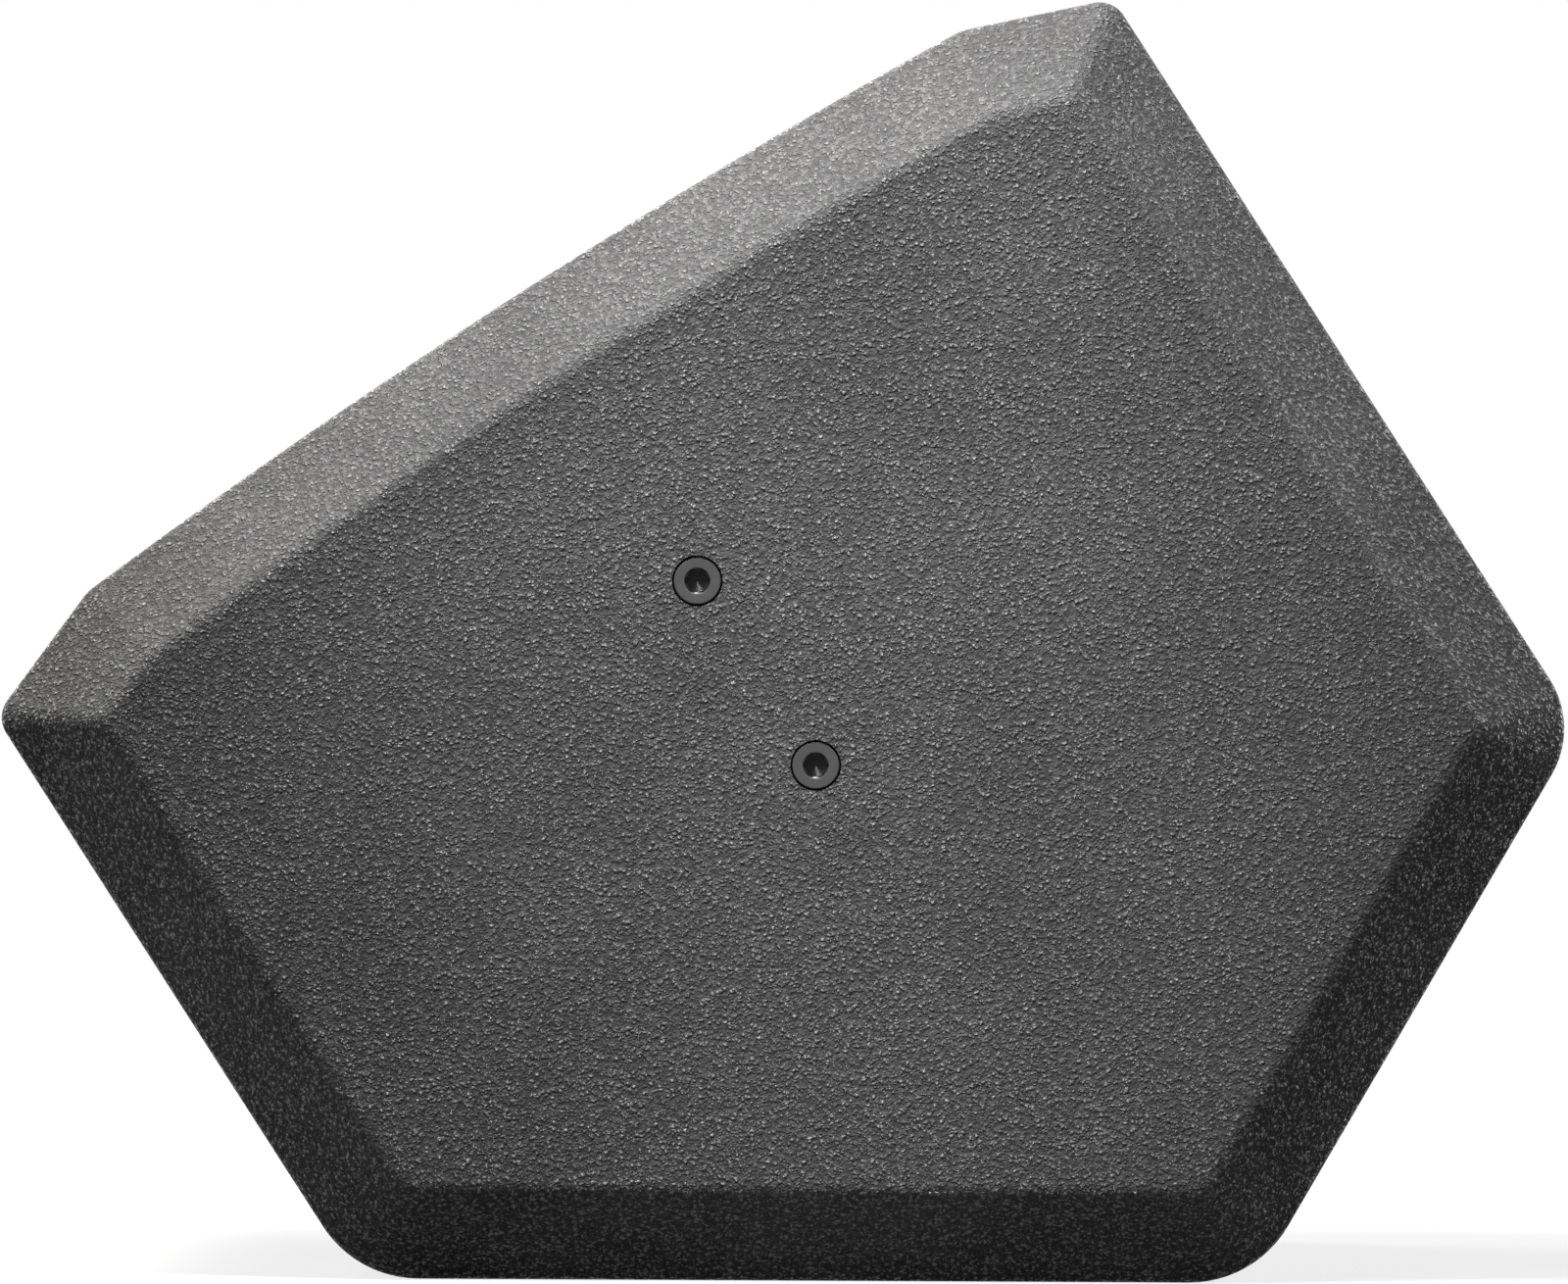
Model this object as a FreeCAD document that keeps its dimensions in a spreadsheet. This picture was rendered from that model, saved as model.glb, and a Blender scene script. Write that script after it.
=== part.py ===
"""A powered public address speaker of the floor-monitor kind, with one coaxial twelve-inch driver.

The cabinet is a five-sided wedge of plywood boards between two bevelled cheeks.
Frame: +X to the rear, +Y to the speaker's far cheek, +Z up, millimetres.
The origin lies on the floor, in the middle of the base board.
"""

import FreeCAD
import Part
import Sketcher
import math
import os
import re

Vector = FreeCAD.Vector

# Driving dimensions: name, size in millimetres (or degrees) and what it sets
SIZES = [
    # the cabinet's side profile
    ("front_tilt", 33, "slope of the front above the floor, degrees"),
    ("front_span", 365, "nose to crown, over the outer faces of the two end boards"),
    ("base_length", 247, "base board, corner to corner"),
    ("nose_length", 183.5, "nose board, toe to nose"),
    ("rear_slope", 60, "slope of the rear board above the floor, degrees"),
    ("facet_length", 42.7, "flat at each end of the bowed front"),
    ("facet_turn", 20.8, "turn of that flat away from the front, degrees"),
    ("front_bow", 4.9, "rise of the bowed front over its chord"),
    ("base_radius", 31.5, "rounding of the toe and heel corners"),
    ("tail_radius", 25, "rounding of the rearmost corner"),
    ("lip_radius", 8, "rounding of the nose and crown corners"),
    # boards
    ("cabinet_width", 460, "over both cheeks"),
    ("bevel", 25, "bevel round each cheek, both ways"),
    ("rim_width", 9, "straight edge of a cheek below its bevel"),
    ("board", 15, "plywood of the cheeks and the wrap"),
    ("baffle_thickness", 18, "plywood of the front baffle"),
    ("baffle_setback", 18, "nose-to-crown line down to the baffle"),
    ("fit_gap", 0.3, "assembly clearance between pieces"),
    ("thread_gap", 0.1, "clearance round a screw or shaft"),
    # rigging points on the cheeks
    ("rig_depth", 73, "first rigging point behind the nose-to-crown line"),
    ("rig_spacing", 60, "between the two rigging points"),
    ("rig_thread", 8, "thread diameter of the rigging points"),
    ("rig_head", 13, "head diameter of the cap screws"),
    ("rig_head_height", 8, "head height of the cap screws"),
    ("rig_key", 6, "hexagon key of the cap screws, across flats"),
    ("rig_key_depth", 4, "depth of the hexagon"),
    ("rig_head_gap", 0.45, "gap round a screw head"),
    ("rig_head_rounding", 0.8, "chamfer of a screw head"),
    ("rig_screw_length", 30, "shank of the cap screws"),
    ("rig_plate_length", 90, "steel plate behind the rigging points"),
    ("rig_plate_width", 36, "steel plate behind the rigging points"),
    ("rig_plate_thickness", 4, "steel plate behind the rigging points"),
    ("rig_boss", 16, "diameter of the welded nut"),
    ("rig_boss_height", 12, "height of the welded nut"),
    # grille
    ("grille_thickness", 1.5, "steel sheet"),
    ("grille_recess", 1, "grille below the cabinet's outline"),
    ("grille_margin", 13, "plain border of the sheet"),
    ("grille_end_margin", 24, "plain border at the screwed ends"),
    ("slot_rows", 25, "rows of openings"),
    ("slot_columns", 4, "openings in a row"),
    ("slot_share", 0.64, "open share of a row's pitch"),
    ("slot_web", 7, "web between openings in a row"),
    ("foam_thickness", 5, "foam behind the grille"),
    ("rail_width", 18, "batten that carries the end of the grille"),
    ("grille_screw_head", 8, "head diameter"),
    ("grille_screw_head_height", 2.4, "head height"),
    ("grille_screw_thread", 4, "thread diameter"),
    ("grille_screw_length", 14, "shank below the head"),
    ("grille_screw_pitch", 110, "between screws along one end"),
    ("flange_gap", 1, "batten clear of the driver's flange"),
    # coaxial driver
    ("driver_margin", 10, "basket's flange inside the baffle's ends"),
    ("flange_land", 15.5, "basket's flange on the baffle, beside the hole"),
    ("flange_thickness", 8, "basket flange"),
    ("driver_screw_inset", 9, "driver screws inside the flange's edge"),
    ("driver_screw", 5, "thread diameter"),
    ("driver_screw_length", 30, "shank"),
    ("driver_screw_head", 8.5, "head diameter"),
    ("driver_screw_head_height", 5, "head height"),
    ("tee_nut_flange", 18, "tee nut behind the baffle"),
    ("tee_nut_plate", 1.6, "tee nut flange thickness"),
    ("tee_nut_barrel", 8, "tee nut barrel, diameter and height"),
    ("basket_depth", 72, "baffle face to the back of the basket"),
    ("basket_foot", 90, "basket radius at its back"),
    ("basket_wall", 6, "basket wall"),
    ("basket_floor", 6, "basket's back plate"),
    ("basket_spokes", 6, "spokes of the basket"),
    ("basket_relief", 2, "basket inside the baffle's hole"),
    ("window_margin", 4, "basket left solid above and below a window"),
    ("ledge_depth", 2, "seat of the surround below the flange"),
    ("surround_lip", 7.5, "glued lip of the surround"),
    ("spider_radius", 80, "spider's glued edge"),
    ("spider_shelf", 6, "width of the spider's seat"),
    ("spider_rise", 16, "spider's seat above the basket's back"),
    ("spider_wall", 0.8, "spider cloth"),
    ("spider_fold", 2.5, "height of the spider's folds"),
    ("spider_folds", 8, "slopes of the spider"),
    ("basket_window", 38, "width of a window between spokes, degrees"),
    ("cone_inset", 21, "cone edge inside the baffle's hole"),
    ("cone_depth", 51, "cone edge to its neck"),
    ("cone_wall", 1.2, "paper"),
    ("cone_rim", 4, "flat rim under the surround"),
    ("cone_curve", 260, "radius of the cone's curve"),
    ("cone_neck", 4, "former above the neck"),
    ("roll_radius", 5.5, "half roll of the surround"),
    ("roll_wall", 0.8, "surround cloth"),
    ("coil_radius", 38, "inside of the voice-coil former"),
    ("former_wall", 0.4, "former"),
    ("winding_wall", 1, "winding"),
    ("winding_height", 18, "winding"),
    ("motor_gap", 1.1, "clearance to each side of the coil"),
    ("motor_radius", 76, "top plate and back plate"),
    ("top_plate_thickness", 9, "top plate"),
    ("magnet_radius", 72, "magnet ring, outside"),
    ("magnet_bore", 92, "magnet ring, inside diameter"),
    ("magnet_height", 14, "magnet ring"),
    ("back_plate_thickness", 12, "back plate"),
    ("throat_radius", 17, "horn throat"),
    ("horn_wall", 1.8, "horn wall"),
    ("horn_mouth", 64, "horn mouth radius"),
    ("horn_flare", 120, "radius of the flare's curve"),
    ("horn_collar", 30, "radius of the horn's seat on the pole"),
    ("horn_collar_height", 4, "seat of the horn"),
    ("horn_drop", 8, "horn mouth below the basket's flange"),
    ("tweeter_radius", 44, "compression driver"),
    ("tweeter_height", 46, "compression driver"),
    ("tweeter_slope", 14, "sloping back of the compression driver"),
    # ports
    ("port_radius", 20, "inside of a port tube"),
    ("port_wall", 2.5, "port tube wall"),
    ("port_flange", 26, "radius of the port's flange"),
    ("port_flange_thickness", 3, "flange on the baffle"),
    ("port_length", 80, "tube behind the baffle face"),
    ("port_margin", 2, "port's flange inside the battens and the cheeks"),
    # pole socket
    ("pole_bore", 36.5, "bore for a stand pole"),
    ("pole_depth", 82, "depth of the bore"),
    ("pole_wall", 3, "socket wall"),
    ("pole_flange", 92, "flange diameter"),
    ("pole_flange_thickness", 3, "flange"),
    ("pole_setback", 102, "nose edge to the pole's axis"),
    ("pole_screw_circle", 74, "screws of the socket"),
    ("panel_screw_thread", 4, "thread of the panel screws"),
    ("panel_screw_head", 7.6, "head of the panel screws"),
    ("panel_screw_head_height", 1.9, "head height of the panel screws"),
    ("panel_screw_length", 11, "shank below the head"),
    # handle
    ("handle_length", 154, "hand opening, across the cabinet"),
    ("handle_height", 74, "hand opening, along the top board"),
    ("handle_depth", 52, "hand opening, into the cabinet"),
    ("handle_wall", 3, "moulded cup"),
    ("handle_flange", 10, "flange round the opening"),
    ("handle_flange_thickness", 3, "flange"),
    ("handle_corner", 14, "corner radius of the opening"),
    ("handle_setback", 132, "crown edge to the middle of the handle"),
    ("grip_radius", 11, "rubber grip"),
    ("grip_drop", 13.5, "grip's axis below the top board"),
    ("rod_radius", 5, "steel rod in the grip"),
    # amplifier module
    ("amp_side_margin", 4, "flange inside the cheeks"),
    ("amp_end_margin", 24.5, "flange inside the ends of the rear board"),
    ("amp_flange", 12, "flange round the recess"),
    ("amp_sheet", 2, "steel sheet"),
    ("amp_recess", 17, "outer face down to the panel's floor"),
    ("amp_corner", 8, "corner radius"),
    ("amp_cover_depth", 58, "electronics cover behind the floor"),
    ("amp_cover_margin", 1, "cover inside the outside of the tray"),
    ("sink_mains_gap", 39, "mains inlet's middle to the heat sink"),
    ("sink_socket_gap", 43, "heat sink to the input socket's middle"),
    ("sink_end_gap", 6, "heat sink inside the tray's long walls"),
    ("sink_base", 3, "heat sink base"),
    ("sink_fin", 2, "fin thickness"),
    ("sink_rise", 12.5, "fin height above the base"),
    ("sink_fins", 20, "number of fins"),
    ("mains_margin", 36, "mains inlet and switch inside the tray's wall"),
    ("link_margin", 52, "link socket and button inside the tray's wall"),
    ("socket_pitch", 40, "between the two signal sockets"),
    ("inlet_length", 48, "mains inlet bezel"),
    ("inlet_height", 27, "mains inlet bezel"),
    ("inlet_plate", 3, "bezel thickness"),
    ("inlet_mouth", 24.5, "mains inlet cavity"),
    ("inlet_gape", 16.5, "mains inlet cavity"),
    ("inlet_depth", 16, "mains inlet cavity"),
    ("inlet_wall", 2, "mains inlet body"),
    ("inlet_corner", 5, "sloped corners of the cavity"),
    ("inlet_rounding", 3, "corners of the bezel"),
    ("blade_width", 4, "contact blades"),
    ("blade_thickness", 2, "contact blades"),
    ("blade_rise", 13, "contact blades above the cavity's floor"),
    ("blade_pitch", 7, "between contact blades"),
    ("blade_offset", 2, "earth blade beside the other two"),
    ("switch_length", 24, "rocker switch bezel"),
    ("switch_width", 18, "rocker switch bezel"),
    ("switch_plate", 2.5, "bezel thickness"),
    ("switch_border", 3.5, "bezel border"),
    ("switch_depth", 16, "switch body behind the floor"),
    ("switch_wall", 1.5, "wall of the switch body"),
    ("rocker_rise", 4, "rocker above its pivot"),
    ("rocker_dip", 1, "hollow across the rocker's middle"),
    ("rocker_gap", 0.9, "rocker inside the bezel, at its ends"),
    ("rocker_side_gap", 0.4, "rocker inside the bezel, at its sides"),
    ("rocker_foot", 4, "rocker below its pivot"),
    ("rocker_pin", 1.2, "radius of the rocker's pivot pins"),
    ("rocker_throw", 9, "rocker tilt each way, degrees"),
    ("socket_length", 31, "signal socket flange"),
    ("socket_width", 26, "signal socket flange"),
    ("socket_plate", 2.2, "flange thickness"),
    ("socket_bore", 18.6, "cup of a signal socket"),
    ("socket_cup", 13, "depth of the cup"),
    ("socket_wall", 2.2, "wall of a signal socket"),
    ("insert_diameter", 15.6, "contact insert of the input"),
    ("pin_diameter", 2.4, "contacts of the link socket"),
    ("pin_circle", 9.8, "circle of the contacts"),
    ("pin_rise", 10, "contacts above the cup's floor"),
    ("insert_drop", 1.5, "contact insert below the flange"),
    ("socket_base", 3, "floor of a signal socket"),
    ("contact_depth", 9, "contact holes of the input"),
    ("socket_corner", 3, "corners of a signal socket"),
    ("latch_width", 7, "release tab"),
    ("latch_height", 3.6, "release tab"),
    ("latch_rise", 1.8, "release tab above the flange"),
    ("latch_offset", 12.6, "release tab from the socket's axis"),
    ("latch_travel", 1.2, "travel of the release tab"),
    ("latch_gap", 0.25, "clearance round the release tab"),
    ("knob_radius", 10, "level knob"),
    ("knob_rise", 12, "level knob"),
    ("knob_taper", 0.8, "knob's top is this much smaller in radius"),
    ("knob_gap", 0.7, "knob above the floor"),
    ("knob_cavity", 6, "radius of the hollow under the knob"),
    ("knob_roof", 2, "knob above its shaft"),
    ("knob_flutes", 18, "flutes round the knob"),
    ("flute_radius", 0.9, "flutes round the knob"),
    ("pointer_width", 1.2, "pointer groove on the knob"),
    ("pointer_depth", 0.6, "pointer groove on the knob"),
    ("shaft_radius", 3, "level shaft"),
    ("bush_radius", 4.5, "threaded bush of the level control"),
    ("bush_rise", 5, "bush above the floor"),
    ("pot_radius", 8.5, "body of the level control"),
    ("pot_depth", 9, "body of the level control"),
    ("button_radius", 4, "preset button"),
    ("button_rise", 3.5, "button above the floor"),
    ("button_depth", 6, "button below the floor"),
    ("button_travel", 2, "travel of the button"),
    ("button_gap", 0.3, "clearance round the button"),
    ("button_case", 12, "switch behind the button"),
    ("button_case_depth", 13, "switch behind the button"),
    ("light_radius", 1.5, "indicator light"),
    ("light_pitch", 9, "between indicator lights"),
    ("light_margin", 22, "middle indicator light inside the tray's wall"),
    ("light_rise", 1, "lights above the floor"),
    ("light_depth", 3, "lights behind the floor's sheet"),
    ("circuit_overhang", 7, "circuit board beyond the ends of the heat sink"),
    ("circuit_end_gap", 6, "circuit board inside the tray's long walls"),
    ("circuit_thickness", 1.6, "circuit board"),
    ("circuit_gap", 10, "circuit board behind the floor"),
    ("standoff_radius", 3, "circuit board pillars"),
    ("standoff_inset", 6, "pillars inside the circuit board's edges"),
    ("toroid_radius", 25, "transformer"),
    ("toroid_bore", 9, "transformer's hole, radius"),
    ("toroid_height", 26, "transformer"),
    ("toroid_margin", 15, "transformer inside the circuit board's end"),
    ("capacitor_radius", 9, "reservoir capacitors"),
    ("capacitor_height", 25, "reservoir capacitors"),
    ("capacitor_pitch", 24, "between capacitors"),
    ("capacitor_margin", 8, "capacitors inside the circuit board's end"),
]

doc = FreeCAD.newDocument("speaker")
sheet = doc.addObject("Spreadsheet::Sheet", "Sizes")
for row, (alias, size, meaning) in enumerate(SIZES, start=1):
    sheet.set(f"A{row}", str(size))
    sheet.setAlias(f"A{row}", alias)
    sheet.set(f"B{row}", meaning)
doc.recompute()
layout = doc.addObject("App::VarSet", "Layout")

SIZE_NAMES = {alias for alias, size, meaning in SIZES}
derived_names = set()
pieces = {}


def full(expression):
    """The expression with each size and derived value named with its owner."""

    def owned(match):
        word = match.group(0)
        if word in SIZE_NAMES:
            return "Sizes." + word
        if word in derived_names:
            return "Layout." + word
        return word

    return re.sub(r"[A-Za-z_]\w*", owned, str(expression))


def bind(thing, prop, expression):
    thing.setExpression(prop, full(expression))


def value(expression):
    return float(layout.evalExpression(full(expression)))


def derive(name, expression):
    """A value worked out from the sizes, kept in the document."""
    layout.addProperty("App::PropertyFloat", name)
    bind(layout, name, expression)
    derived_names.add(name)
    doc.recompute([layout])


# Corners of the side profile: toe, heel, tail, crown and nose
derive("half_inner", "cabinet_width / 2 - bevel - rim_width")
derive("toe_x", "-base_length / 2")
derive("heel_x", "base_length / 2")
derive("nose_x", "toe_x - nose_length * sin(front_tilt)")
derive("nose_z", "nose_length * cos(front_tilt)")
derive("crown_x", "nose_x + front_span * cos(front_tilt)")
derive("crown_z", "nose_z + front_span * sin(front_tilt)")
derive("rear_length", "(front_span - base_length * cos(front_tilt)) / cos(rear_slope - front_tilt)")
derive("tail_x", "heel_x + rear_length * cos(rear_slope)")
derive("tail_z", "rear_length * sin(rear_slope)")
derive("top_length", "(tail_x - crown_x) * sin(front_tilt) - (tail_z - crown_z) * cos(front_tilt)")
derive("toe_half_turn", "(90 - front_tilt) / 2")
derive("tail_half_turn", "(90 + front_tilt - rear_slope) / 2")

# Ends of the flats beside the bowed front
derive("low_brow_x", "nose_x + facet_length * cos(front_tilt + facet_turn)")
derive("low_brow_z", "nose_z + facet_length * sin(front_tilt + facet_turn)")
derive("high_brow_x", "crown_x - facet_length * cos(front_tilt - facet_turn)")
derive("high_brow_z", "crown_z - facet_length * sin(front_tilt - facet_turn)")
derive("front_chord", "front_span - 2 * facet_length * cos(facet_turn)")
derive("front_radius", "front_chord * front_chord / (8 * front_bow) + front_bow / 2")
derive("brow_rise", "facet_length * sin(facet_turn)")

# Middles of the boards, where their own frames stand
derive("front_x", "(nose_x + crown_x) / 2")
derive("front_z", "(nose_z + crown_z) / 2")
derive("rear_x", "(heel_x + tail_x) / 2")
derive("rear_z", "tail_z / 2")
derive("top_x", "(crown_x + tail_x) / 2")
derive("top_z", "(crown_z + tail_z) / 2")
derive("board_nose_x", "(nose_x + toe_x) / 2")
derive("board_nose_z", "nose_z / 2")

# A frame has its own Z along a board's outward normal and keeps the cabinet's Y
UP, DOWN = Vector(0, 1, 0), Vector(0, -1, 0)
FRAMES = {
    "front": ("front_x", "front_z", DOWN, "front_tilt"),
    "rear": ("rear_x", "rear_z", UP, "180 - rear_slope"),
    "top": ("top_x", "top_z", UP, "90 - front_tilt"),
    "nose": ("board_nose_x", "board_nose_z", DOWN, "90 + front_tilt"),
    "base": ("0", "0", UP, "180"),
    "low_facet": ("low_facet_x", "low_facet_z", DOWN, "front_tilt + facet_turn"),
    "high_facet": ("high_facet_x", "high_facet_z", DOWN, "front_tilt - facet_turn"),
}


def place(thing, frame, x="0", y="0", z="0", tilt="0"):
    """Stands a piece on a board: drawn in the board's frame, then moved within it and tilted."""
    frame_x, frame_z, axis, turn = FRAMES[frame]
    angle = f"{turn} + {tilt}"
    sign = int(axis.y)
    thing.Placement = FreeCAD.Placement(Vector(), FreeCAD.Rotation(axis, value(angle)))
    bind(thing, "Placement.Base.x", f"{frame_x} + ({x}) * cos({turn}) + {sign} * ({z}) * sin({turn})")
    bind(thing, "Placement.Base.y", y)
    bind(thing, "Placement.Base.z", f"{frame_z} - {sign} * ({x}) * sin({turn}) + ({z}) * cos({turn})")
    bind(thing, "Placement.Rotation.Angle", angle)
    return thing


def piece(label, thing, frame=None, **moved):
    """Names a finished sub-part."""
    if frame:
        place(thing, frame, **moved)
    thing.Label = label
    pieces[label] = thing
    return thing


# Sketches

def body(name):
    return doc.addObject("PartDesign::Body", name)


def sketch(owner, plane, height="0"):
    """A sketch on one of the body's own planes, raised along the plane's normal."""
    drawing = owner.newObject("Sketcher::SketchObject", owner.Name + "_sketch")
    support = [p for p in owner.Origin.OriginFeatures if p.Role == plane + "_Plane"][0]
    drawing.AttachmentSupport = [(support, "")]
    drawing.MapMode = "FlatFace"
    bind(drawing, "AttachmentOffset.Base.z", height)
    return drawing


def locate(drawing, geometry, position, x, y):
    """Ties a point of a sketch to its two coordinates."""
    for kind, expression in (("DistanceX", x), ("DistanceY", y)):
        constraint = Sketcher.Constraint(kind, -1, 1, geometry, position, value(expression))
        index = drawing.addConstraint(constraint)
        bind(drawing, f"Constraints[{index}]", expression)


def profile(drawing, points):
    """A closed outline through the points.

    A point is (x, y) after a straight run, or (x, y, radius, side) after an arc
    whose centre lies to the left (side 1) or right (side -1) of the way there.
    """
    places = [Vector(value(p[0]), value(p[1]), 0) for p in points]
    runs = []
    for index, point in enumerate(points):
        start, end = places[index - 1], places[index]
        if len(point) == 2:
            runs.append((drawing.addGeometry(Part.LineSegment(start, end)), 1, 2))
            continue
        radius, side = value(point[2]), point[3]
        across = end - start
        reach = math.sqrt(radius ** 2 - (across.Length / 2) ** 2)
        left = Vector(-across.y, across.x, 0).normalize()
        centre = (start + end) / 2 + left * (side * reach)
        first, last = (start, end) if side > 0 else (end, start)
        angles = [math.atan2(p.y - centre.y, p.x - centre.x) for p in (first, last)]
        circle = Part.Circle(centre, Vector(0, 0, 1), radius)
        arc = drawing.addGeometry(Part.ArcOfCircle(circle, *angles))
        index_of_radius = drawing.addConstraint(Sketcher.Constraint("Radius", arc, radius))
        bind(drawing, f"Constraints[{index_of_radius}]", point[2])
        runs.append((arc, 1, 2) if side > 0 else (arc, 2, 1))
    for index, (geometry, start, end) in enumerate(runs):
        following = runs[(index + 1) % len(runs)]
        drawing.addConstraint(
            Sketcher.Constraint("Coincident", geometry, end, following[0], following[1])
        )
        locate(drawing, geometry, end, points[index][0], points[index][1])
    return drawing


def rectangle(drawing, middle, size, corner=None):
    """A rectangle about its middle, with round corners where a radius is given."""
    x, y = middle
    half_x, half_y = f"({size[0]}) / 2", f"({size[1]}) / 2"
    low_x, high_x = f"{x} - {half_x}", f"{x} + {half_x}"
    low_y, high_y = f"{y} - {half_y}", f"{y} + {half_y}"
    if corner is None:
        points = [(low_x, low_y), (high_x, low_y), (high_x, high_y), (low_x, high_y)]
        return profile(drawing, points)
    corner = f"({corner})"
    return profile(drawing, [
        (f"{high_x} - {corner}", low_y), (high_x, f"{low_y} + {corner}", corner, 1),
        (high_x, f"{high_y} - {corner}"), (f"{high_x} - {corner}", high_y, corner, 1),
        (f"{low_x} + {corner}", high_y), (low_x, f"{high_y} - {corner}", corner, 1),
        (low_x, f"{low_y} + {corner}"), (f"{low_x} + {corner}", low_y, corner, 1),
    ])


def circle(drawing, x, y, radius):
    place_of = Vector(value(x), value(y), 0)
    geometry = drawing.addGeometry(Part.Circle(place_of, Vector(0, 0, 1), value(radius)))
    index = drawing.addConstraint(Sketcher.Constraint("Radius", geometry, value(radius)))
    bind(drawing, f"Constraints[{index}]", radius)
    locate(drawing, geometry, 3, x, y)
    return drawing


# Features

def feature(owner, kind, drawing, length=None, flip=False, middle=False, taper=None):
    """A pad, or a pocket that goes right through where no length is given."""
    made = owner.newObject("PartDesign::" + kind, owner.Name + "_" + kind.lower())
    made.Profile = drawing
    made.Midplane = middle
    made.Reversed = flip
    if length is None:
        made.Type = "ThroughAll"
    else:
        bind(made, "Length", length)
    if taper is not None:
        bind(made, "TaperAngle", taper)
    return made


def revolve(name, points):
    """A turned piece: its half section as (radius, height) points, about Z."""
    owner = body(name)
    drawing = profile(sketch(owner, "XZ"), points)
    made = owner.newObject("PartDesign::Revolution", name + "_turned")
    made.Profile = drawing
    made.ReferenceAxis = (drawing, ["V_Axis"])
    made.Angle = 360
    return owner


def box(name, x, y, z):
    """A block between two limits each way."""
    made = doc.addObject("Part::Box", name)
    for prop, axis, (low, high) in (("Length", "x", x), ("Width", "y", y), ("Height", "z", z)):
        bind(made, prop, f"({high}) - ({low})")
        bind(made, "Placement.Base." + axis, low)
    return made


def rod(name, radius, middle, span, along="z"):
    """A cylinder; middle gives the two coordinates across it, span its two ends."""
    made = doc.addObject("Part::Cylinder", name)
    bind(made, "Radius", radius)
    bind(made, "Height", f"({span[1]}) - ({span[0]})")
    if along == "y":
        made.Placement = FreeCAD.Placement(Vector(), FreeCAD.Rotation(Vector(-1, 0, 0), 90))
        places = {"x": middle[0], "z": middle[1], "y": span[0]}
    else:
        places = {"x": middle[0], "y": middle[1], "z": span[0]}
    for axis, expression in places.items():
        bind(made, "Placement.Base." + axis, expression)
    return made


def fuse(name, *things):
    made = doc.addObject("Part::MultiFuse", name)
    made.Shapes = list(things)
    return made


def cut(name, base, *tools):
    made = doc.addObject("Part::Cut", name)
    made.Base = base
    made.Tool = tools[0] if len(tools) == 1 else fuse(name + "_tools", *tools)
    return made


def group(name, things):
    """Separate solids under one name."""
    made = doc.addObject("Part::Compound", name)
    made.Links = list(things)
    return made


def common(name, base, tool):
    made = doc.addObject("Part::Common", name)
    made.Base = base
    made.Tool = tool
    return made


def mirrored(name, source):
    """The same piece on the far cheek."""
    made = doc.addObject("Part::Mirroring", name)
    made.Source = source
    made.Normal = Vector(0, 1, 0)
    return made


# Cabinet

OUTLINE = [
    ("toe_x", "0"),
    ("heel_x", "0"),
    ("tail_x", "tail_z"),
    ("crown_x", "crown_z"),
    ("high_brow_x", "high_brow_z"),
    ("low_brow_x", "low_brow_z", "front_radius", 1),
    ("nose_x", "nose_z"),
]


def edges_along_y(shape, x, z):
    """Names of the edges that run across the cabinet through one corner."""
    found = []
    for number, edge in enumerate(shape.Edges, start=1):
        ends = [vertex.Point for vertex in edge.Vertexes]
        near = all(math.hypot(p.x - value(x), p.z - value(z)) < 0.01 for p in ends)
        if near and len(ends) == 2:
            found.append(f"Edge{number}")
    return found


def outline_block():
    """The cabinet's outer form with rounded corners, which every board is trimmed to."""
    owner = body("outline_block")
    feature(owner, "Pad", profile(sketch(owner, "XZ"), OUTLINE), "cabinet_width", middle=True)
    corners = [
        ("base_radius", [("toe_x", "0"), ("heel_x", "0")]),
        ("tail_radius", [("tail_x", "tail_z")]),
        ("lip_radius", [("crown_x", "crown_z"), ("nose_x", "nose_z")]),
    ]
    for radius, places in corners:
        doc.recompute()
        base = owner.Tip
        names = [name for x, z in places for name in edges_along_y(base.Shape, x, z)]
        rounding = owner.newObject("PartDesign::Fillet", "outline_" + radius)
        rounding.Base = (base, names)
        bind(rounding, "Radius", radius)
    return owner


def rig_point(number):
    """Where a rigging point lies in the side profile."""
    depth = f"(rig_depth + {number} * rig_spacing)"
    return f"front_x + {depth} * sin(front_tilt)", f"front_z - {depth} * cos(front_tilt)"


def cheek(block):
    """The near cheek: bevelled outside, hollowed inside to the boards' thickness."""
    owner = body("cheek")
    drawing = profile(sketch(owner, "XZ", "half_inner"), OUTLINE)
    blank = feature(owner, "Pad", drawing, "bevel + rim_width")
    doc.recompute()
    outer = -value("cabinet_width") / 2
    edges = [
        f"Edge{number}"
        for number, edge in enumerate(blank.Shape.Edges, start=1)
        if all(abs(vertex.Y - outer) < 0.01 for vertex in edge.Vertexes)
    ]
    slope = owner.newObject("PartDesign::Chamfer", "cheek_bevel")
    slope.Base = (blank, edges)
    bind(slope, "Size", "bevel")
    doc.recompute()
    hollow = profile(sketch(owner, "XZ", "half_inner"), [
        ("inner_toe_x", "board"),
        ("inner_heel_x", "board"),
        ("inner_tail_x", "inner_tail_z"),
        ("inner_crown_x", "inner_crown_z"),
        ("inner_nose_x", "inner_nose_z"),
    ])
    feature(owner, "Pocket", hollow, "bevel + rim_width - board", flip=True, taper="-45")
    for radius, depth in (
        ("rig_head / 2 + rig_head_gap", "rig_head_height + rig_head_gap"),
        ("rig_thread / 2 + fit_gap", None),
    ):
        holes = sketch(owner, "XZ", "cabinet_width / 2")
        for number in range(2):
            circle(holes, *rig_point(number), radius)
        feature(owner, "Pocket", holes, depth)
    return common("near_cheek", owner, block)


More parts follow.
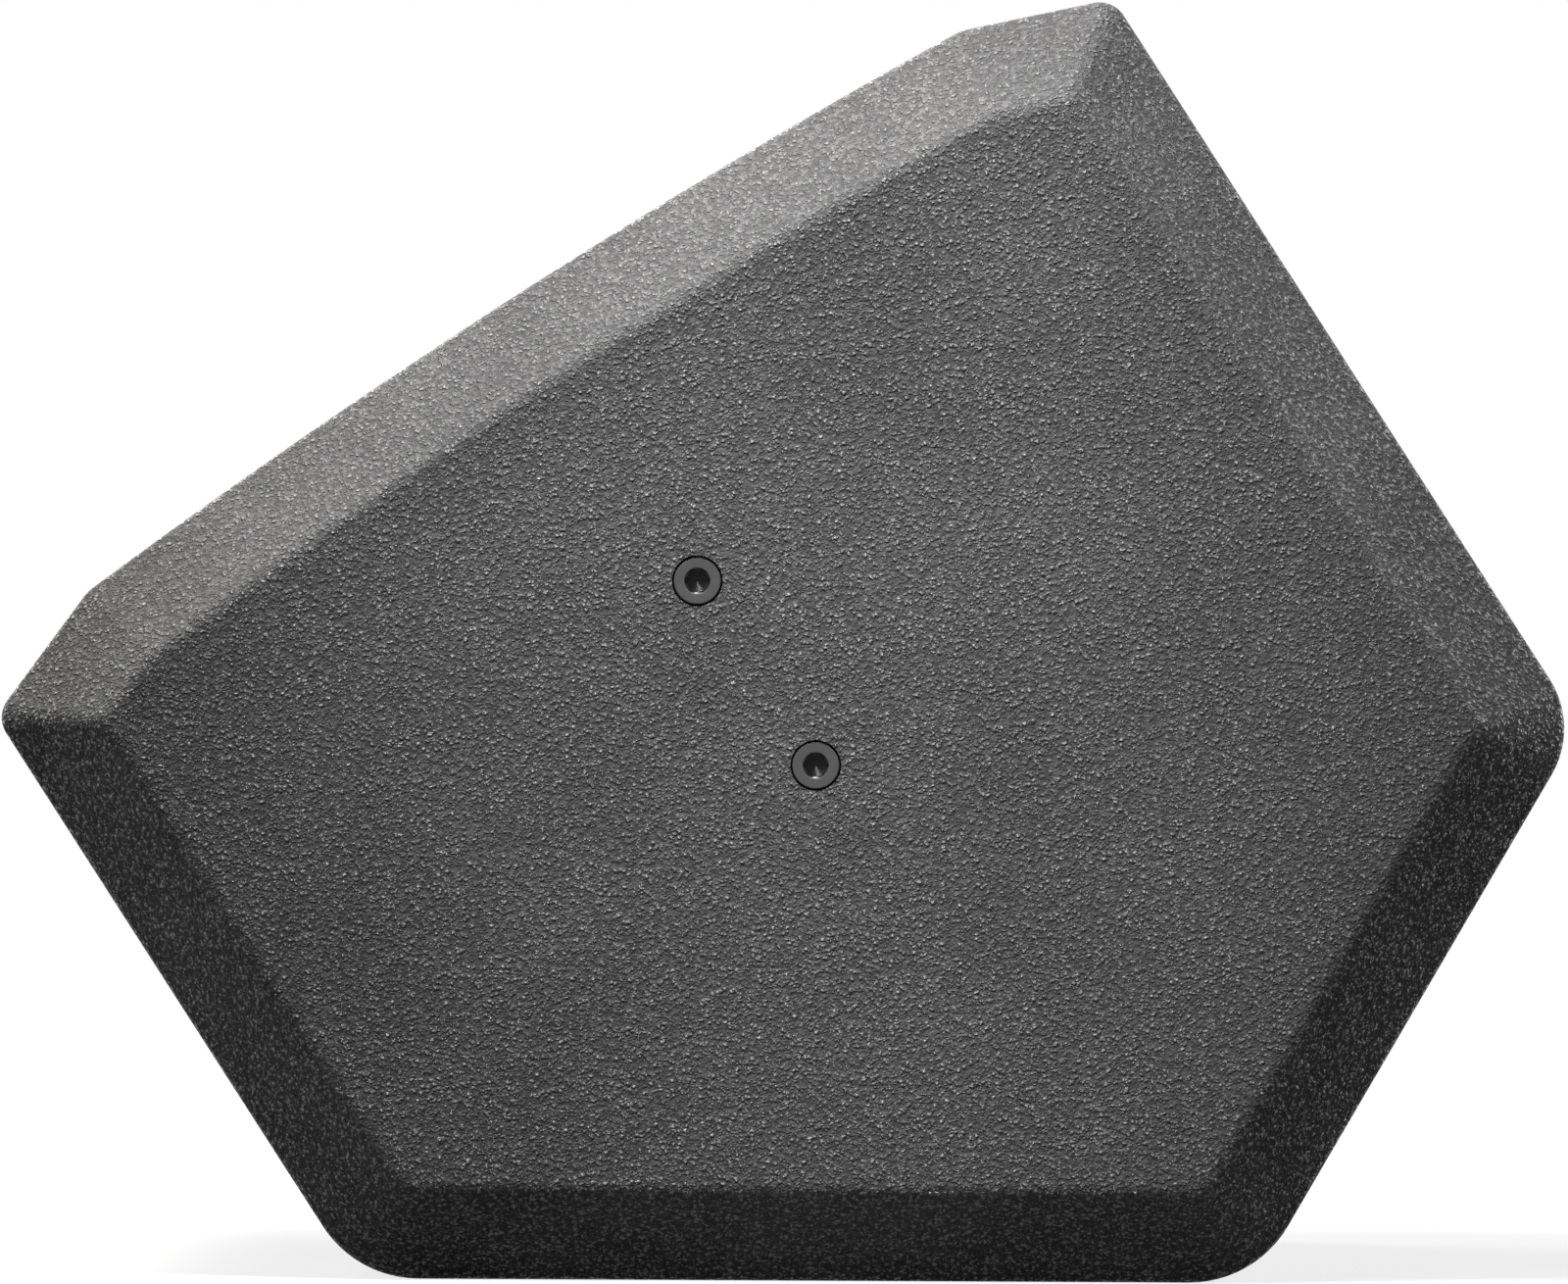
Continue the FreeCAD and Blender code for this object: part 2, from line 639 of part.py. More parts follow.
def wrap_board(label, frame, length, insets, block, cuts=()):
    """One board of the wrap, mitred at its ends and trimmed to the rounded outline."""
    owner = body(label + "_blank")
    half = f"({length}) / 2"
    ends = profile(sketch(owner, "XZ"), [
        (f"-{half}", "0"),
        (f"-{half} + {insets[0]}", "-board"),
        (f"{half} - {insets[1]}", "-board"),
        (half, "0"),
    ])
    feature(owner, "Pad", ends, "2 * half_inner", middle=True)
    for drawing, depth in cuts:
        feature(owner, "Pocket", drawing(owner), depth)
    place(owner, frame)
    piece(label, common(label, owner, block))


derive("cavity_depth", "baffle_setback + baffle_thickness")
derive("inner_toe_x", "toe_x + board * (1 - sin(front_tilt)) / cos(front_tilt)")
derive("inner_heel_x", "heel_x - board * (1 - cos(rear_slope)) / sin(rear_slope)")
derive("tail_run", "board * (1 - sin(rear_slope - front_tilt)) / cos(rear_slope - front_tilt)")
derive("inner_tail_x", "tail_x - tail_run * cos(rear_slope) - board * sin(rear_slope)")
derive("inner_tail_z", "tail_z - tail_run * sin(rear_slope) + board * cos(rear_slope)")
derive("inner_crown_x", "crown_x - board * cos(front_tilt) + cavity_depth * sin(front_tilt)")
derive("inner_crown_z", "crown_z - board * sin(front_tilt) - cavity_depth * cos(front_tilt)")
derive("inner_nose_x", "nose_x + board * cos(front_tilt) + cavity_depth * sin(front_tilt)")
derive("inner_nose_z", "nose_z + board * sin(front_tilt) - cavity_depth * cos(front_tilt)")
derive("amp_length", "2 * (half_inner - amp_side_margin)")
derive("amp_height", "rear_length - 2 * amp_end_margin")
derive("tray_length", "amp_length - 2 * amp_flange")
derive("tray_height", "amp_height - 2 * amp_flange")
derive("pole_x", "nose_length / 2 - pole_setback")
derive("handle_x", "handle_setback - top_length / 2")


def rear_window(owner):
    size = ("tray_height + 2 * amp_sheet + 2 * fit_gap", "tray_length + 2 * amp_sheet + 2 * fit_gap")
    return rectangle(sketch(owner, "XY"), ("0", "0"), size, "amp_corner")


def rear_rebate(owner):
    size = ("amp_height + 2 * fit_gap", "amp_length + 2 * fit_gap")
    return rectangle(sketch(owner, "XY"), ("0", "0"), size, "amp_corner")


def top_window(owner):
    size = ("handle_height + 2 * handle_wall + 2 * fit_gap",
            "handle_length + 2 * handle_wall + 2 * fit_gap")
    return rectangle(sketch(owner, "XY"), ("handle_x", "0"), size, "handle_corner + handle_wall")


def top_rebate(owner):
    size = ("handle_height + 2 * handle_flange + 2 * fit_gap",
            "handle_length + 2 * handle_flange + 2 * fit_gap")
    return rectangle(sketch(owner, "XY"), ("handle_x", "0"), size, "handle_corner + handle_flange")


def nose_hole(owner):
    return circle(sketch(owner, "XY"), "pole_x", "0", "pole_bore / 2 + pole_wall + fit_gap")


def nose_rebate(owner):
    return circle(sketch(owner, "XY"), "pole_x", "0", "pole_flange / 2 + fit_gap")


def screw_holes(places, radius="panel_screw_thread / 2 + thread_gap"):
    """A drawing of screw holes at the given places of a board."""

    def drawing(owner):
        holes = sketch(owner, "XY")
        for x, y in places:
            circle(holes, x, y, radius)
        return holes

    return drawing


derive("handle_screw_x", "handle_height / 2 + handle_wall / 2 + handle_flange / 2")
derive("handle_screw_y", "handle_length / 2 - handle_corner")
derive("amp_screw_x", "amp_height / 2 - amp_flange / 2 + amp_sheet / 2")
derive("amp_screw_y", "amp_length / 2 - 2 * amp_flange")
HANDLE_SCREWS = [
    (f"handle_x + {side} * handle_screw_x", f"{end} * handle_screw_y")
    for side in (-1, 1) for end in (-1, 1)
]
POLE_SCREWS = [
    (f"pole_x + pole_screw_circle / 2 * cos({angle})", f"pole_screw_circle / 2 * sin({angle})")
    for angle in (45, 135, 225, 315)
]
AMP_SCREWS = [
    (f"{side} * amp_screw_x", f"{share} * amp_screw_y")
    for side in (-1, 1) for share in (-1, -0.33, 0.33, 1)
]
SCREW_DEPTH = "panel_screw_length + panel_screw_head_height + 2 * fit_gap"


def cabinet():
    block = outline_block()
    near = cheek(block)
    piece("left_cheek", near)
    piece("right_cheek", mirrored("far_cheek", near))
    toe = "board * tan(toe_half_turn)"
    heel = "board * tan(rear_slope / 2)"
    tail = "board * tan(tail_half_turn)"
    facet = "-board * tan(facet_turn)"
    wrap_board("base_panel", "base", "base_length", (heel, toe), block)
    wrap_board("rear_panel", "rear", "rear_length", (tail, heel), block, [
        (rear_window, None),
        (rear_rebate, "amp_sheet + fit_gap"),
        (screw_holes(AMP_SCREWS), SCREW_DEPTH),
    ])
    wrap_board("top_panel", "top", "top_length", (facet, tail), block, [
        (top_window, None),
        (top_rebate, "handle_flange_thickness + fit_gap"),
        (screw_holes(HANDLE_SCREWS), SCREW_DEPTH),
    ])
    wrap_board("nose_panel", "nose", "nose_length", (toe, facet), block, [
        (nose_hole, None),
        (nose_rebate, "pole_flange_thickness + fit_gap"),
        (screw_holes(POLE_SCREWS), SCREW_DEPTH),
    ])


derive("baffle_half", "front_span / 2 - board")
derive("driver_diameter", "2 * (baffle_half - driver_margin)")
derive("driver_cutout", "driver_diameter - 2 * flange_land")
derive("driver_circle", "driver_diameter - 2 * driver_screw_inset")
derive("port_rise", "baffle_half - rail_width - port_margin - port_flange")
derive("port_reach", "half_inner - port_margin - port_flange")
PORTS = [(rise, reach) for rise in (-1, 1) for reach in (-1, 1)]
DRIVER_SCREWS = [
    (f"driver_circle / 2 * cos({angle})", f"driver_circle / 2 * sin({angle})")
    for angle in (22.5 + 45 * step for step in range(8))
]


def baffle():
    owner = body("baffle")
    board = sketch(owner, "XY", "-baffle_setback")
    rectangle(board, ("0", "0"), ("2 * baffle_half", "2 * half_inner"))
    feature(owner, "Pad", board, "baffle_thickness", flip=True)
    holes = sketch(owner, "XY", "-baffle_setback")
    circle(holes, "0", "0", "driver_cutout / 2")
    for rise, reach in PORTS:
        centre = (f"{rise} * port_rise", f"{reach} * port_reach")
        circle(holes, *centre, "port_radius + port_wall + fit_gap")
    for x, y in DRIVER_SCREWS:
        circle(holes, x, y, "driver_screw / 2 + fit_gap")
    feature(owner, "Pocket", holes)
    piece("front_baffle", owner, "front")


# Grille

derive("grille_end", "baffle_half - fit_gap")
derive("grille_end_rise", "(front_span / 2 - grille_end) * tan(facet_turn)")
derive("facet_hidden", "board / cos(facet_turn)")
derive("facet_middle", "(facet_hidden + facet_length) / 2")
derive("low_facet_x", "nose_x + facet_middle * cos(front_tilt + facet_turn)")
derive("low_facet_z", "nose_z + facet_middle * sin(front_tilt + facet_turn)")
derive("high_facet_x", "crown_x - facet_middle * cos(front_tilt - facet_turn)")
derive("high_facet_z", "crown_z - facet_middle * sin(front_tilt - facet_turn)")
derive("slot_pitch", "2 * (grille_end - grille_end_margin) / slot_rows")
derive("slot_reach", "2 * (half_inner - grille_margin) / slot_columns")


def band(drop, thickness, end, end_rise):
    """Section of a sheet that follows the bowed front, a drop below the outline."""
    upper, lower = f"-({drop})", f"-({drop}) - {thickness}"
    return [
        (f"-{end}", f"{end_rise} {upper}"),
        (f"-{end}", f"{end_rise} {lower}"),
        ("-front_chord / 2", f"brow_rise {lower}"),
        ("front_chord / 2", f"brow_rise {lower}", "front_radius", -1),
        (end, f"{end_rise} {lower}"),
        (end, f"{end_rise} {upper}"),
        ("front_chord / 2", f"brow_rise {upper}"),
        ("-front_chord / 2", f"brow_rise {upper}", "front_radius", 1),
    ]


def grille_sheet():
    """A bent steel sheet with rows of openings, flush between the cheeks."""
    owner = body("grille_sheet")
    section = band("grille_recess", "grille_thickness", "grille_end", "grille_end_rise")
    bent = profile(sketch(owner, "XZ"), section)
    feature(owner, "Pad", bent, "2 * half_inner - 2 * fit_gap", middle=True)
    first = sketch(owner, "XY", "front_span")
    rectangle(
        first,
        ("-(slot_rows - 1) / 2 * slot_pitch", "-(slot_columns - 1) / 2 * slot_reach"),
        ("slot_pitch * slot_share", "slot_reach - slot_web"),
    )
    opening = feature(owner, "Pocket", first)
    doc.recompute()
    rows = owner.newObject("PartDesign::LinearPattern", "grille_rows")
    rows.Originals = [opening]
    rows.Direction = (first, ["H_Axis"])
    rows.Direction2 = (first, ["V_Axis"])
    bind(rows, "Length", "(slot_rows - 1) * slot_pitch")
    bind(rows, "Length2", "(slot_columns - 1) * slot_reach")
    bind(rows, "Occurrences", "slot_rows")
    bind(rows, "Occurrences2", "slot_columns")
    owner.Tip = rows
    return place(owner, "front")


def foam():
    owner = body("foam_sheet")
    end = "(front_chord / 2)"
    drop = "grille_recess + grille_thickness + fit_gap"
    upper, lower = f"brow_rise - ({drop})", f"brow_rise - ({drop}) - foam_thickness"
    section = [
        (f"-{end}", upper),
        (f"-{end}", lower),
        (end, lower, "front_radius", -1),
        (end, upper),
        (f"-{end}", upper, "front_radius", 1),
    ]
    drawing = profile(sketch(owner, "XZ"), section[1:])
    feature(owner, "Pad", drawing, "2 * half_inner - 2 * fit_gap", middle=True)
    piece("grille_foam", owner, "front")


# Screws

def countersunk_screws(name, places, top):
    """Flat-headed screws, flush with a flange whose face lies at the given height."""
    screws = []
    for x, y in places:
        head = doc.addObject("Part::Cone", name + "_head")
        bind(head, "Radius1", "panel_screw_thread / 2")
        bind(head, "Radius2", "panel_screw_head / 2")
        bind(head, "Height", "panel_screw_head_height")
        seat = f"{top} - panel_screw_head_height"
        for axis, expression in (("x", x), ("y", y), ("z", seat)):
            bind(head, "Placement.Base." + axis, expression)
        shank = rod(name + "_shank", "panel_screw_thread / 2", (x, y),
                    (f"{seat} - panel_screw_length", seat))
        screws.append(fuse(name + "_screw", head, shank))
    return group(name, screws)


def countersunk(name, base, places, top):
    """A flange with the holes that those screws sit in."""
    tools = []
    for x, y in places:
        sink = doc.addObject("Part::Cone", name + "_sink")
        bind(sink, "Radius1", "panel_screw_thread / 2 + thread_gap")
        bind(sink, "Radius2", "panel_screw_head / 2 + thread_gap")
        bind(sink, "Height", "panel_screw_head_height")
        seat = f"{top} - panel_screw_head_height"
        for axis, expression in (("x", x), ("y", y), ("z", seat)):
            bind(sink, "Placement.Base." + axis, expression)
        hole = rod(name + "_hole", "panel_screw_thread / 2 + thread_gap", (x, y),
                   (f"{seat} - panel_screw_length", seat))
        tools += [sink, hole]
    return cut(name, base, *tools)


# Grille ends

SHEET_TOP = "-grille_recess * cos(facet_turn)"
HEAD_SEAT = f"{SHEET_TOP} - grille_screw_head_height"
ENDS = (("low_facet", -1), ("high_facet", 1))


def facet_rods(name, radius, bottom, top):
    """Rods along the axes of the grille's screws, on both flats."""
    rods = []
    for frame, side in ENDS:
        row = [
            rod(name, radius, ("0", f"{step} * grille_screw_pitch"), (bottom, top))
            for step in (-1.5, -0.5, 0.5, 1.5)
        ]
        rods.append(place(group(name + "_row", row), frame))
    return rods


def grille_ends():
    """Battens under the two flats and the screws that hold the grille to them."""
    tip = f"{HEAD_SEAT} - grille_screw_length"
    head_room = facet_rods("head_room", "grille_screw_head / 2 + fit_gap", HEAD_SEAT, "board")
    shank_room = facet_rods("shank_room", "grille_screw_thread / 2 + thread_gap", tip, HEAD_SEAT)
    drop = "(grille_recess + grille_thickness + fit_gap)"
    for (frame, side), label, heads, shanks in zip(
        ENDS, ("grille_rail_nose", "grille_rail_crown"), head_room, shank_room
    ):
        owner = body(label + "_batten")
        inner = f"{side} * (baffle_half - rail_width)"
        section = profile(sketch(owner, "XZ"), [
            (f"{side} * baffle_half", "-baffle_setback"),
            (inner, "-baffle_setback"),
            (inner, f"(board + rail_width) * tan(facet_turn) - {drop}"),
            (f"{side} * baffle_half", f"board * tan(facet_turn) - {drop}"),
        ])
        feature(owner, "Pad", section, "2 * half_inner - 2 * fit_gap", middle=True)
        scallop = sketch(owner, "XY", "front_span")
        circle(scallop, "0", "0", "driver_diameter / 2 + flange_gap")
        feature(owner, "Pocket", scallop)
        place(owner, "front")
        piece(label, cut(label, owner, heads, shanks))
    sheet_body = grille_sheet()
    piece("grille", cut("grille", sheet_body, *head_room))
    heads = facet_rods("screw_head", "grille_screw_head / 2", HEAD_SEAT, SHEET_TOP)
    shanks = facet_rods("screw_shank", "grille_screw_thread / 2", tip, HEAD_SEAT)
    joined = [fuse("grille_screw_row", head, shank) for head, shank in zip(heads, shanks)]
    piece("grille_screws", group("grille_screws", joined))


# Coaxial driver, about the front's own Z

derive("driver_seat", "-baffle_setback")
derive("flange_top", "driver_seat + flange_thickness")
derive("basket_back", "driver_seat - basket_depth")
derive("surround_seat", "flange_top - ledge_depth")
derive("cone_radius", "driver_cutout / 2 - cone_inset")
derive("roll_foot", "cone_radius + 2 * roll_radius")
derive("lip_edge", "roll_foot + surround_lip")
derive("spider_seat", "basket_back + spider_rise")
derive("spider_bore", "spider_radius - spider_shelf")
derive("former_radius", "coil_radius + former_wall")
derive("winding_radius", "former_radius + winding_wall")
derive("gap_radius", "winding_radius + motor_gap")
derive("pole_radius", "coil_radius - motor_gap")
derive("neck_height", "surround_seat - cone_depth")
derive("plate_back", "basket_back - top_plate_thickness")
derive("magnet_back", "plate_back - magnet_height")
derive("motor_back", "magnet_back - back_plate_thickness")
derive("winding_back", "(basket_back + plate_back) / 2 - winding_height / 2")
derive("horn_seat", "basket_back + horn_collar_height")
derive("horn_front", "flange_top - horn_drop")
derive("horn_neck", "throat_radius + horn_wall")
# a semicircle drawn a little flat, so that its centre stays on one side
ROLL = "1.01"


def basket():
    """Cast basket: flange, conical wall with windows between spokes, spider seat and back."""
    owner = revolve("basket", [
        ("driver_diameter / 2", "driver_seat"),
        ("driver_diameter / 2", "flange_top"),
        ("lip_edge", "flange_top"),
        ("lip_edge", "surround_seat"),
        ("roll_foot", "surround_seat"),
        ("roll_foot", "driver_seat"),
        ("basket_foot - basket_wall", "spider_seat"),
        ("spider_bore", "spider_seat"),
        ("spider_bore", "basket_back + basket_floor"),
        ("gap_radius + basket_wall", "basket_back + basket_floor"),
        ("gap_radius + basket_wall", "basket_back"),
        ("basket_foot", "basket_back"),
        ("basket_foot", "spider_seat - basket_wall"),
        ("driver_cutout / 2 - basket_relief", "driver_seat"),
    ])
    opening = sketch(owner, "XY", "driver_seat - window_margin")
    inner, outer = "basket_foot", "(roll_foot - basket_relief)"
    turn = "basket_window / 2"
    profile(opening, [
        (f"{outer} * cos({turn})", f"-{outer} * sin({turn})"),
        (f"{outer} * cos({turn})", f"{outer} * sin({turn})", outer, 1),
        (f"{inner} * cos({turn})", f"{inner} * sin({turn})"),
        (f"{inner} * cos({turn})", f"-{inner} * sin({turn})", inner, -1),
    ])
    window = feature(owner, "Pocket", opening, "basket_depth - window_margin - spider_rise")
    doc.recompute()
    windows = owner.newObject("PartDesign::PolarPattern", "basket_windows")
    windows.Originals = [window]
    windows.Axis = (opening, ["N_Axis"])
    windows.Angle = 360
    bind(windows, "Occurrences", "basket_spokes")
    owner.Tip = windows
    holes = sketch(owner, "XY", "flange_top")
    for x, y in DRIVER_SCREWS:
        circle(holes, x, y, "driver_screw / 2 + fit_gap")
    feature(owner, "Pocket", holes, "flange_thickness")
    piece("driver_basket", owner, "front")


def moving_cone():
    """Surround, cone, spider, former and winding."""
    piece("surround", revolve("surround_roll", [
        ("lip_edge - fit_gap", "surround_seat"),
        ("lip_edge - fit_gap", "surround_seat + roll_wall"),
        ("roll_foot + roll_wall", "surround_seat + roll_wall"),
        ("cone_radius - roll_wall", "surround_seat + roll_wall", f"(roll_radius + roll_wall) * {ROLL}", 1),
        ("cone_radius - cone_rim", "surround_seat + roll_wall"),
        ("cone_radius - cone_rim", "surround_seat"),
        ("cone_radius", "surround_seat"),
        ("roll_foot", "surround_seat", f"roll_radius * {ROLL}", -1),
    ]), "front")
    piece("cone", revolve("cone_paper", [
        ("cone_radius", "surround_seat"),
        ("cone_radius - cone_rim", "surround_seat"),
        ("former_radius", "neck_height", "cone_curve", 1),
        ("former_radius", "neck_height - cone_wall"),
        ("cone_radius - cone_rim", "surround_seat - cone_wall", "cone_curve", -1),
        ("cone_radius", "surround_seat - cone_wall"),
    ]), "front")
    slope = "(spider_bore - former_radius) / spider_folds"
    folds = [
        (f"spider_bore - {step} * {slope}", f"spider_seat + {step % 2} * spider_fold")
        for step in range(int(value("spider_folds")) + 1)
    ]
    lifted = [(radius, f"{height} + spider_wall") for radius, height in reversed(folds)]
    edge = [("spider_radius", "spider_seat + spider_wall"), ("spider_radius", "spider_seat")]
    piece("spider", revolve("spider_cloth", folds + lifted + edge), "front")
    piece("coil_former", tube("former", "coil_radius", "former_radius",
                              "winding_back", "neck_height + cone_neck"), "front")
    piece("voice_coil", tube("winding", "former_radius", "winding_radius",
                             "winding_back", "winding_back + winding_height"), "front")


def tube(name, inner, outer, low, high):
    return revolve(name, [(inner, low), (outer, low), (outer, high), (inner, high)])


def motor():
    """Magnet system, horn and compression driver."""
    piece("top_plate", tube("gap_plate", "gap_radius", "motor_radius", "plate_back", "basket_back"),
          "front")
    piece("magnet", tube("ring_magnet", "magnet_bore / 2", "magnet_radius", "magnet_back", "plate_back"),
          "front")
    piece("back_plate", revolve("pole_piece", [
        ("horn_neck + thread_gap", "motor_back"),
        ("motor_radius", "motor_back"),
        ("motor_radius", "magnet_back"),
        ("pole_radius", "magnet_back"),
        ("pole_radius", "basket_back"),
        ("horn_neck + thread_gap", "basket_back"),
    ]), "front")
    piece("horn", revolve("flare", [
        ("throat_radius", "motor_back"),
        ("horn_neck", "motor_back"),
        ("horn_neck", "basket_back"),
        ("horn_collar", "basket_back"),
        ("horn_collar", "horn_seat"),
        ("horn_neck + horn_wall", "horn_seat"),
        ("horn_mouth + horn_wall", "horn_front", "horn_flare", -1),
        ("horn_mouth", "horn_front"),
        ("throat_radius", "horn_seat", "horn_flare", 1),
    ]), "front")
    back = "motor_back - tweeter_height"
    piece("compression_driver", revolve("tweeter", [
        ("0", "motor_back"),
        ("0", back),
        ("tweeter_radius - tweeter_slope / 2", back),
        ("tweeter_radius", f"{back} + tweeter_slope"),
        ("tweeter_radius", "motor_back"),
    ]), "front")


def driver_fixings():
    screws, nuts = [], []
    behind = "-cavity_depth"
    tip = "flange_top - driver_screw_length"
    for place_of in DRIVER_SCREWS:
        head = rod("driver_head", "driver_screw_head / 2", place_of,
                   ("flange_top", "flange_top + driver_screw_head_height"))
        shank = rod("driver_shank", "driver_screw / 2", place_of, (tip, "flange_top"))
        screws.append(fuse("driver_bolt", head, shank))
        plate = rod("nut_plate", "tee_nut_flange / 2", place_of, (f"{behind} - tee_nut_plate", behind))
        barrel = rod("nut_barrel", "tee_nut_barrel / 2", place_of, (f"{behind} - tee_nut_barrel", behind))
        bore = rod("nut_bore", "driver_screw / 2 + thread_gap", place_of,
                   (f"{behind} - tee_nut_barrel", behind))
        nuts.append(cut("tee_nut", fuse("nut_blank", plate, barrel), bore))
    piece("driver_screws", group("driver_screws", screws), "front")
    piece("driver_tee_nuts", group("driver_tee_nuts", nuts), "front")


def ports():
    """Four port tubes with rounded mouths, in the corners of the baffle."""
    top = "driver_seat + port_flange_thickness"
    for number, (rise, reach) in enumerate(PORTS, start=1):
        port = revolve("port", [
            ("port_radius", "driver_seat - port_length"),
            ("port_radius + port_wall", "driver_seat - port_length"),
            ("port_radius + port_wall", "driver_seat"),
            ("port_flange", "driver_seat"),
            ("port_flange", top),
            ("port_radius + port_flange_thickness", top),
            ("port_radius", "driver_seat", "port_flange_thickness", 1),
        ])
        piece(f"port_tube_{number}", port, "front",
              x=f"{rise} * port_rise", y=f"{reach} * port_reach")


# Rigging points

derive("cheek_inside", "cabinet_width / 2 - board")


def rigging():
    """Steel plates with welded nuts behind each cheek, and the cap screws in them."""
    face = "-cheek_inside"
    plate_face = f"{face} + rig_plate_thickness"
    middle = "(-rig_depth - rig_spacing / 2)"
    plate = box("plate", ("-rig_plate_width / 2", "rig_plate_width / 2"), (face, plate_face),
                (f"{middle} - rig_plate_length / 2", f"{middle} + rig_plate_length / 2"))
    bosses, holes = [], []
    for number in range(2):
        depth = f"-rig_depth - {number} * rig_spacing"
        end = f"{plate_face} + rig_boss_height"
        bosses.append(rod("boss", "rig_boss / 2", ("0", depth), (plate_face, end), "y"))
        holes.append(rod("tapping", "rig_thread / 2 + thread_gap", ("0", depth), (face, end), "y"))
    near = cut("near_plate", fuse("plate_and_nuts", plate, *bosses), *holes)
    place(near, "front")
    piece("left_rigging_plate", near)
    piece("right_rigging_plate", mirrored("far_plate", near))
    screws = [cap_screw(number) for number in range(2)]
    pair = group("near_screws", screws)
    piece("rigging_screws", group("rigging_screws", [pair, mirrored("far_screws", pair)]))


def cap_screw(number):
    """A socket-head cap screw, its axis across the cabinet and its head in the near cheek."""
    owner = revolve("cap_screw", [
        ("0", "0"),
        ("0", "-rig_head_height - rig_screw_length"),
        ("rig_thread / 2", "-rig_head_height - rig_screw_length"),
        ("rig_thread / 2", "-rig_head_height"),
        ("rig_head / 2", "-rig_head_height"),
        ("rig_head / 2", "-rig_head_rounding"),
        ("rig_head / 2 - rig_head_rounding", "0"),
    ])
    key = sketch(owner, "XY")
    reach = "rig_key / 2 / cos(30)"
    profile(key, [(f"{reach} * cos({60 * side})", f"{reach} * sin({60 * side})") for side in range(6)])
    feature(owner, "Pocket", key, "rig_key_depth")
    x, z = rig_point(number)
    owner.Placement = FreeCAD.Placement(Vector(), FreeCAD.Rotation(Vector(1, 0, 0), 90))
    bind(owner, "Placement.Base.x", x)
    bind(owner, "Placement.Base.y", "-cabinet_width / 2 + rig_head_gap")
    bind(owner, "Placement.Base.z", z)
    return owner


# Pole socket and handle

derive("sunk_face", "-fit_gap")


def pole_socket():
    """A cup for a stand's pole, let into the nose board."""
    floor = "sunk_face - pole_depth"
    outer = "pole_bore / 2 + pole_wall"
    under = "sunk_face - pole_flange_thickness"
    cup = revolve("pole_cup", [
        ("pole_bore / 2", "sunk_face"),
        ("pole_bore / 2", floor),
        ("0", floor),
        ("0", f"{floor} - pole_wall"),
        (outer, f"{floor} - pole_wall"),
        (outer, under),
        ("pole_flange / 2", under),
        ("pole_flange / 2", "sunk_face"),
    ])
    bind(cup, "Placement.Base.x", "pole_x")
    piece("pole_socket", countersunk("pole_socket", cup, POLE_SCREWS, "sunk_face"), "nose")


def handle():
    """A moulded cup in the top board with a gripped steel rod across it."""
    cup = body("cup")
    flange = sketch(cup, "XY", "sunk_face")
    middle = ("handle_x", "0")
    rectangle(flange, middle, ("handle_height + 2 * handle_flange", "handle_length + 2 * handle_flange"),
              "handle_corner + handle_flange")
    feature(cup, "Pad", flange, "handle_flange_thickness", flip=True)
    outside = sketch(cup, "XY", "sunk_face")
    rectangle(outside, middle, ("handle_height + 2 * handle_wall", "handle_length + 2 * handle_wall"),
              "handle_corner + handle_wall")
    feature(cup, "Pad", outside, "handle_depth + handle_wall", flip=True)
    inside = sketch(cup, "XY", "sunk_face")
    rectangle(inside, middle, ("handle_height", "handle_length"), "handle_corner")
    feature(cup, "Pocket", inside, "handle_depth")
    axis = ("handle_x", "sunk_face - grip_drop")
    wall_end = "handle_length / 2 + handle_wall"
    way = rod("rod_way", "rod_radius + thread_gap", axis, (f"-({wall_end})", wall_end), "y")
    pierced = cut("pierced_cup", cup, way)
    piece("handle_cup", countersunk("handle_cup", pierced, HANDLE_SCREWS, "sunk_face"), "top")
    steel = rod("steel", "rod_radius", axis, (f"-({wall_end})", wall_end), "y")
    piece("handle_rod", group("handle_rod", [steel]), "top")
    grip_end = "handle_length / 2 - fit_gap"
    sleeve = rod("sleeve", "grip_radius", axis, (f"-({grip_end})", grip_end), "y")
    bore = rod("sleeve_bore", "rod_radius + thread_gap", axis, (f"-({grip_end})", grip_end), "y")
    piece("handle_grip", cut("handle_grip", sleeve, bore), "top")


# Amplifier module, in the rear board's frame

derive("panel_floor", "-amp_recess")
derive("panel_under", "panel_floor - amp_sheet")
derive("inlet_face", "panel_floor + inlet_plate")
derive("switch_face", "panel_floor + switch_plate")
derive("socket_face", "panel_floor + socket_plate")
derive("socket_radius", "socket_bore / 2 + socket_wall")
derive("cup_floor", "socket_face - socket_cup")
derive("mouth_x", "inlet_gape / 2")
derive("mouth_y", "inlet_mouth / 2")
derive("switch_gape", "switch_width - 2 * switch_border")
derive("switch_mouth", "switch_length - 2 * switch_border")
derive("control_row", "tray_height / 4")
derive("mains_column", "mains_margin - tray_length / 2")
derive("link_column", "tray_length / 2 - link_margin")
derive("light_column", "tray_length / 2 - light_margin")
derive("input_column", "link_column - socket_pitch")
derive("sink_length", "input_column - sink_socket_gap - mains_column - sink_mains_gap")
derive("sink_middle", "mains_column + sink_mains_gap + sink_length / 2")
derive("sink_height", "tray_height - 2 * sink_end_gap")
derive("circuit_length", "sink_length + 2 * circuit_overhang")
derive("circuit_height", "tray_height - 2 * circuit_end_gap")
derive("toroid_column", "sink_middle - circuit_length / 2 + toroid_margin + toroid_radius")
derive("capacitor_edge", "sink_middle + circuit_length / 2 - capacitor_margin")
derive("capacitor_column", "capacitor_edge - capacitor_radius - capacitor_pitch / 2")
LOW, HIGH = "control_row", "-control_row"


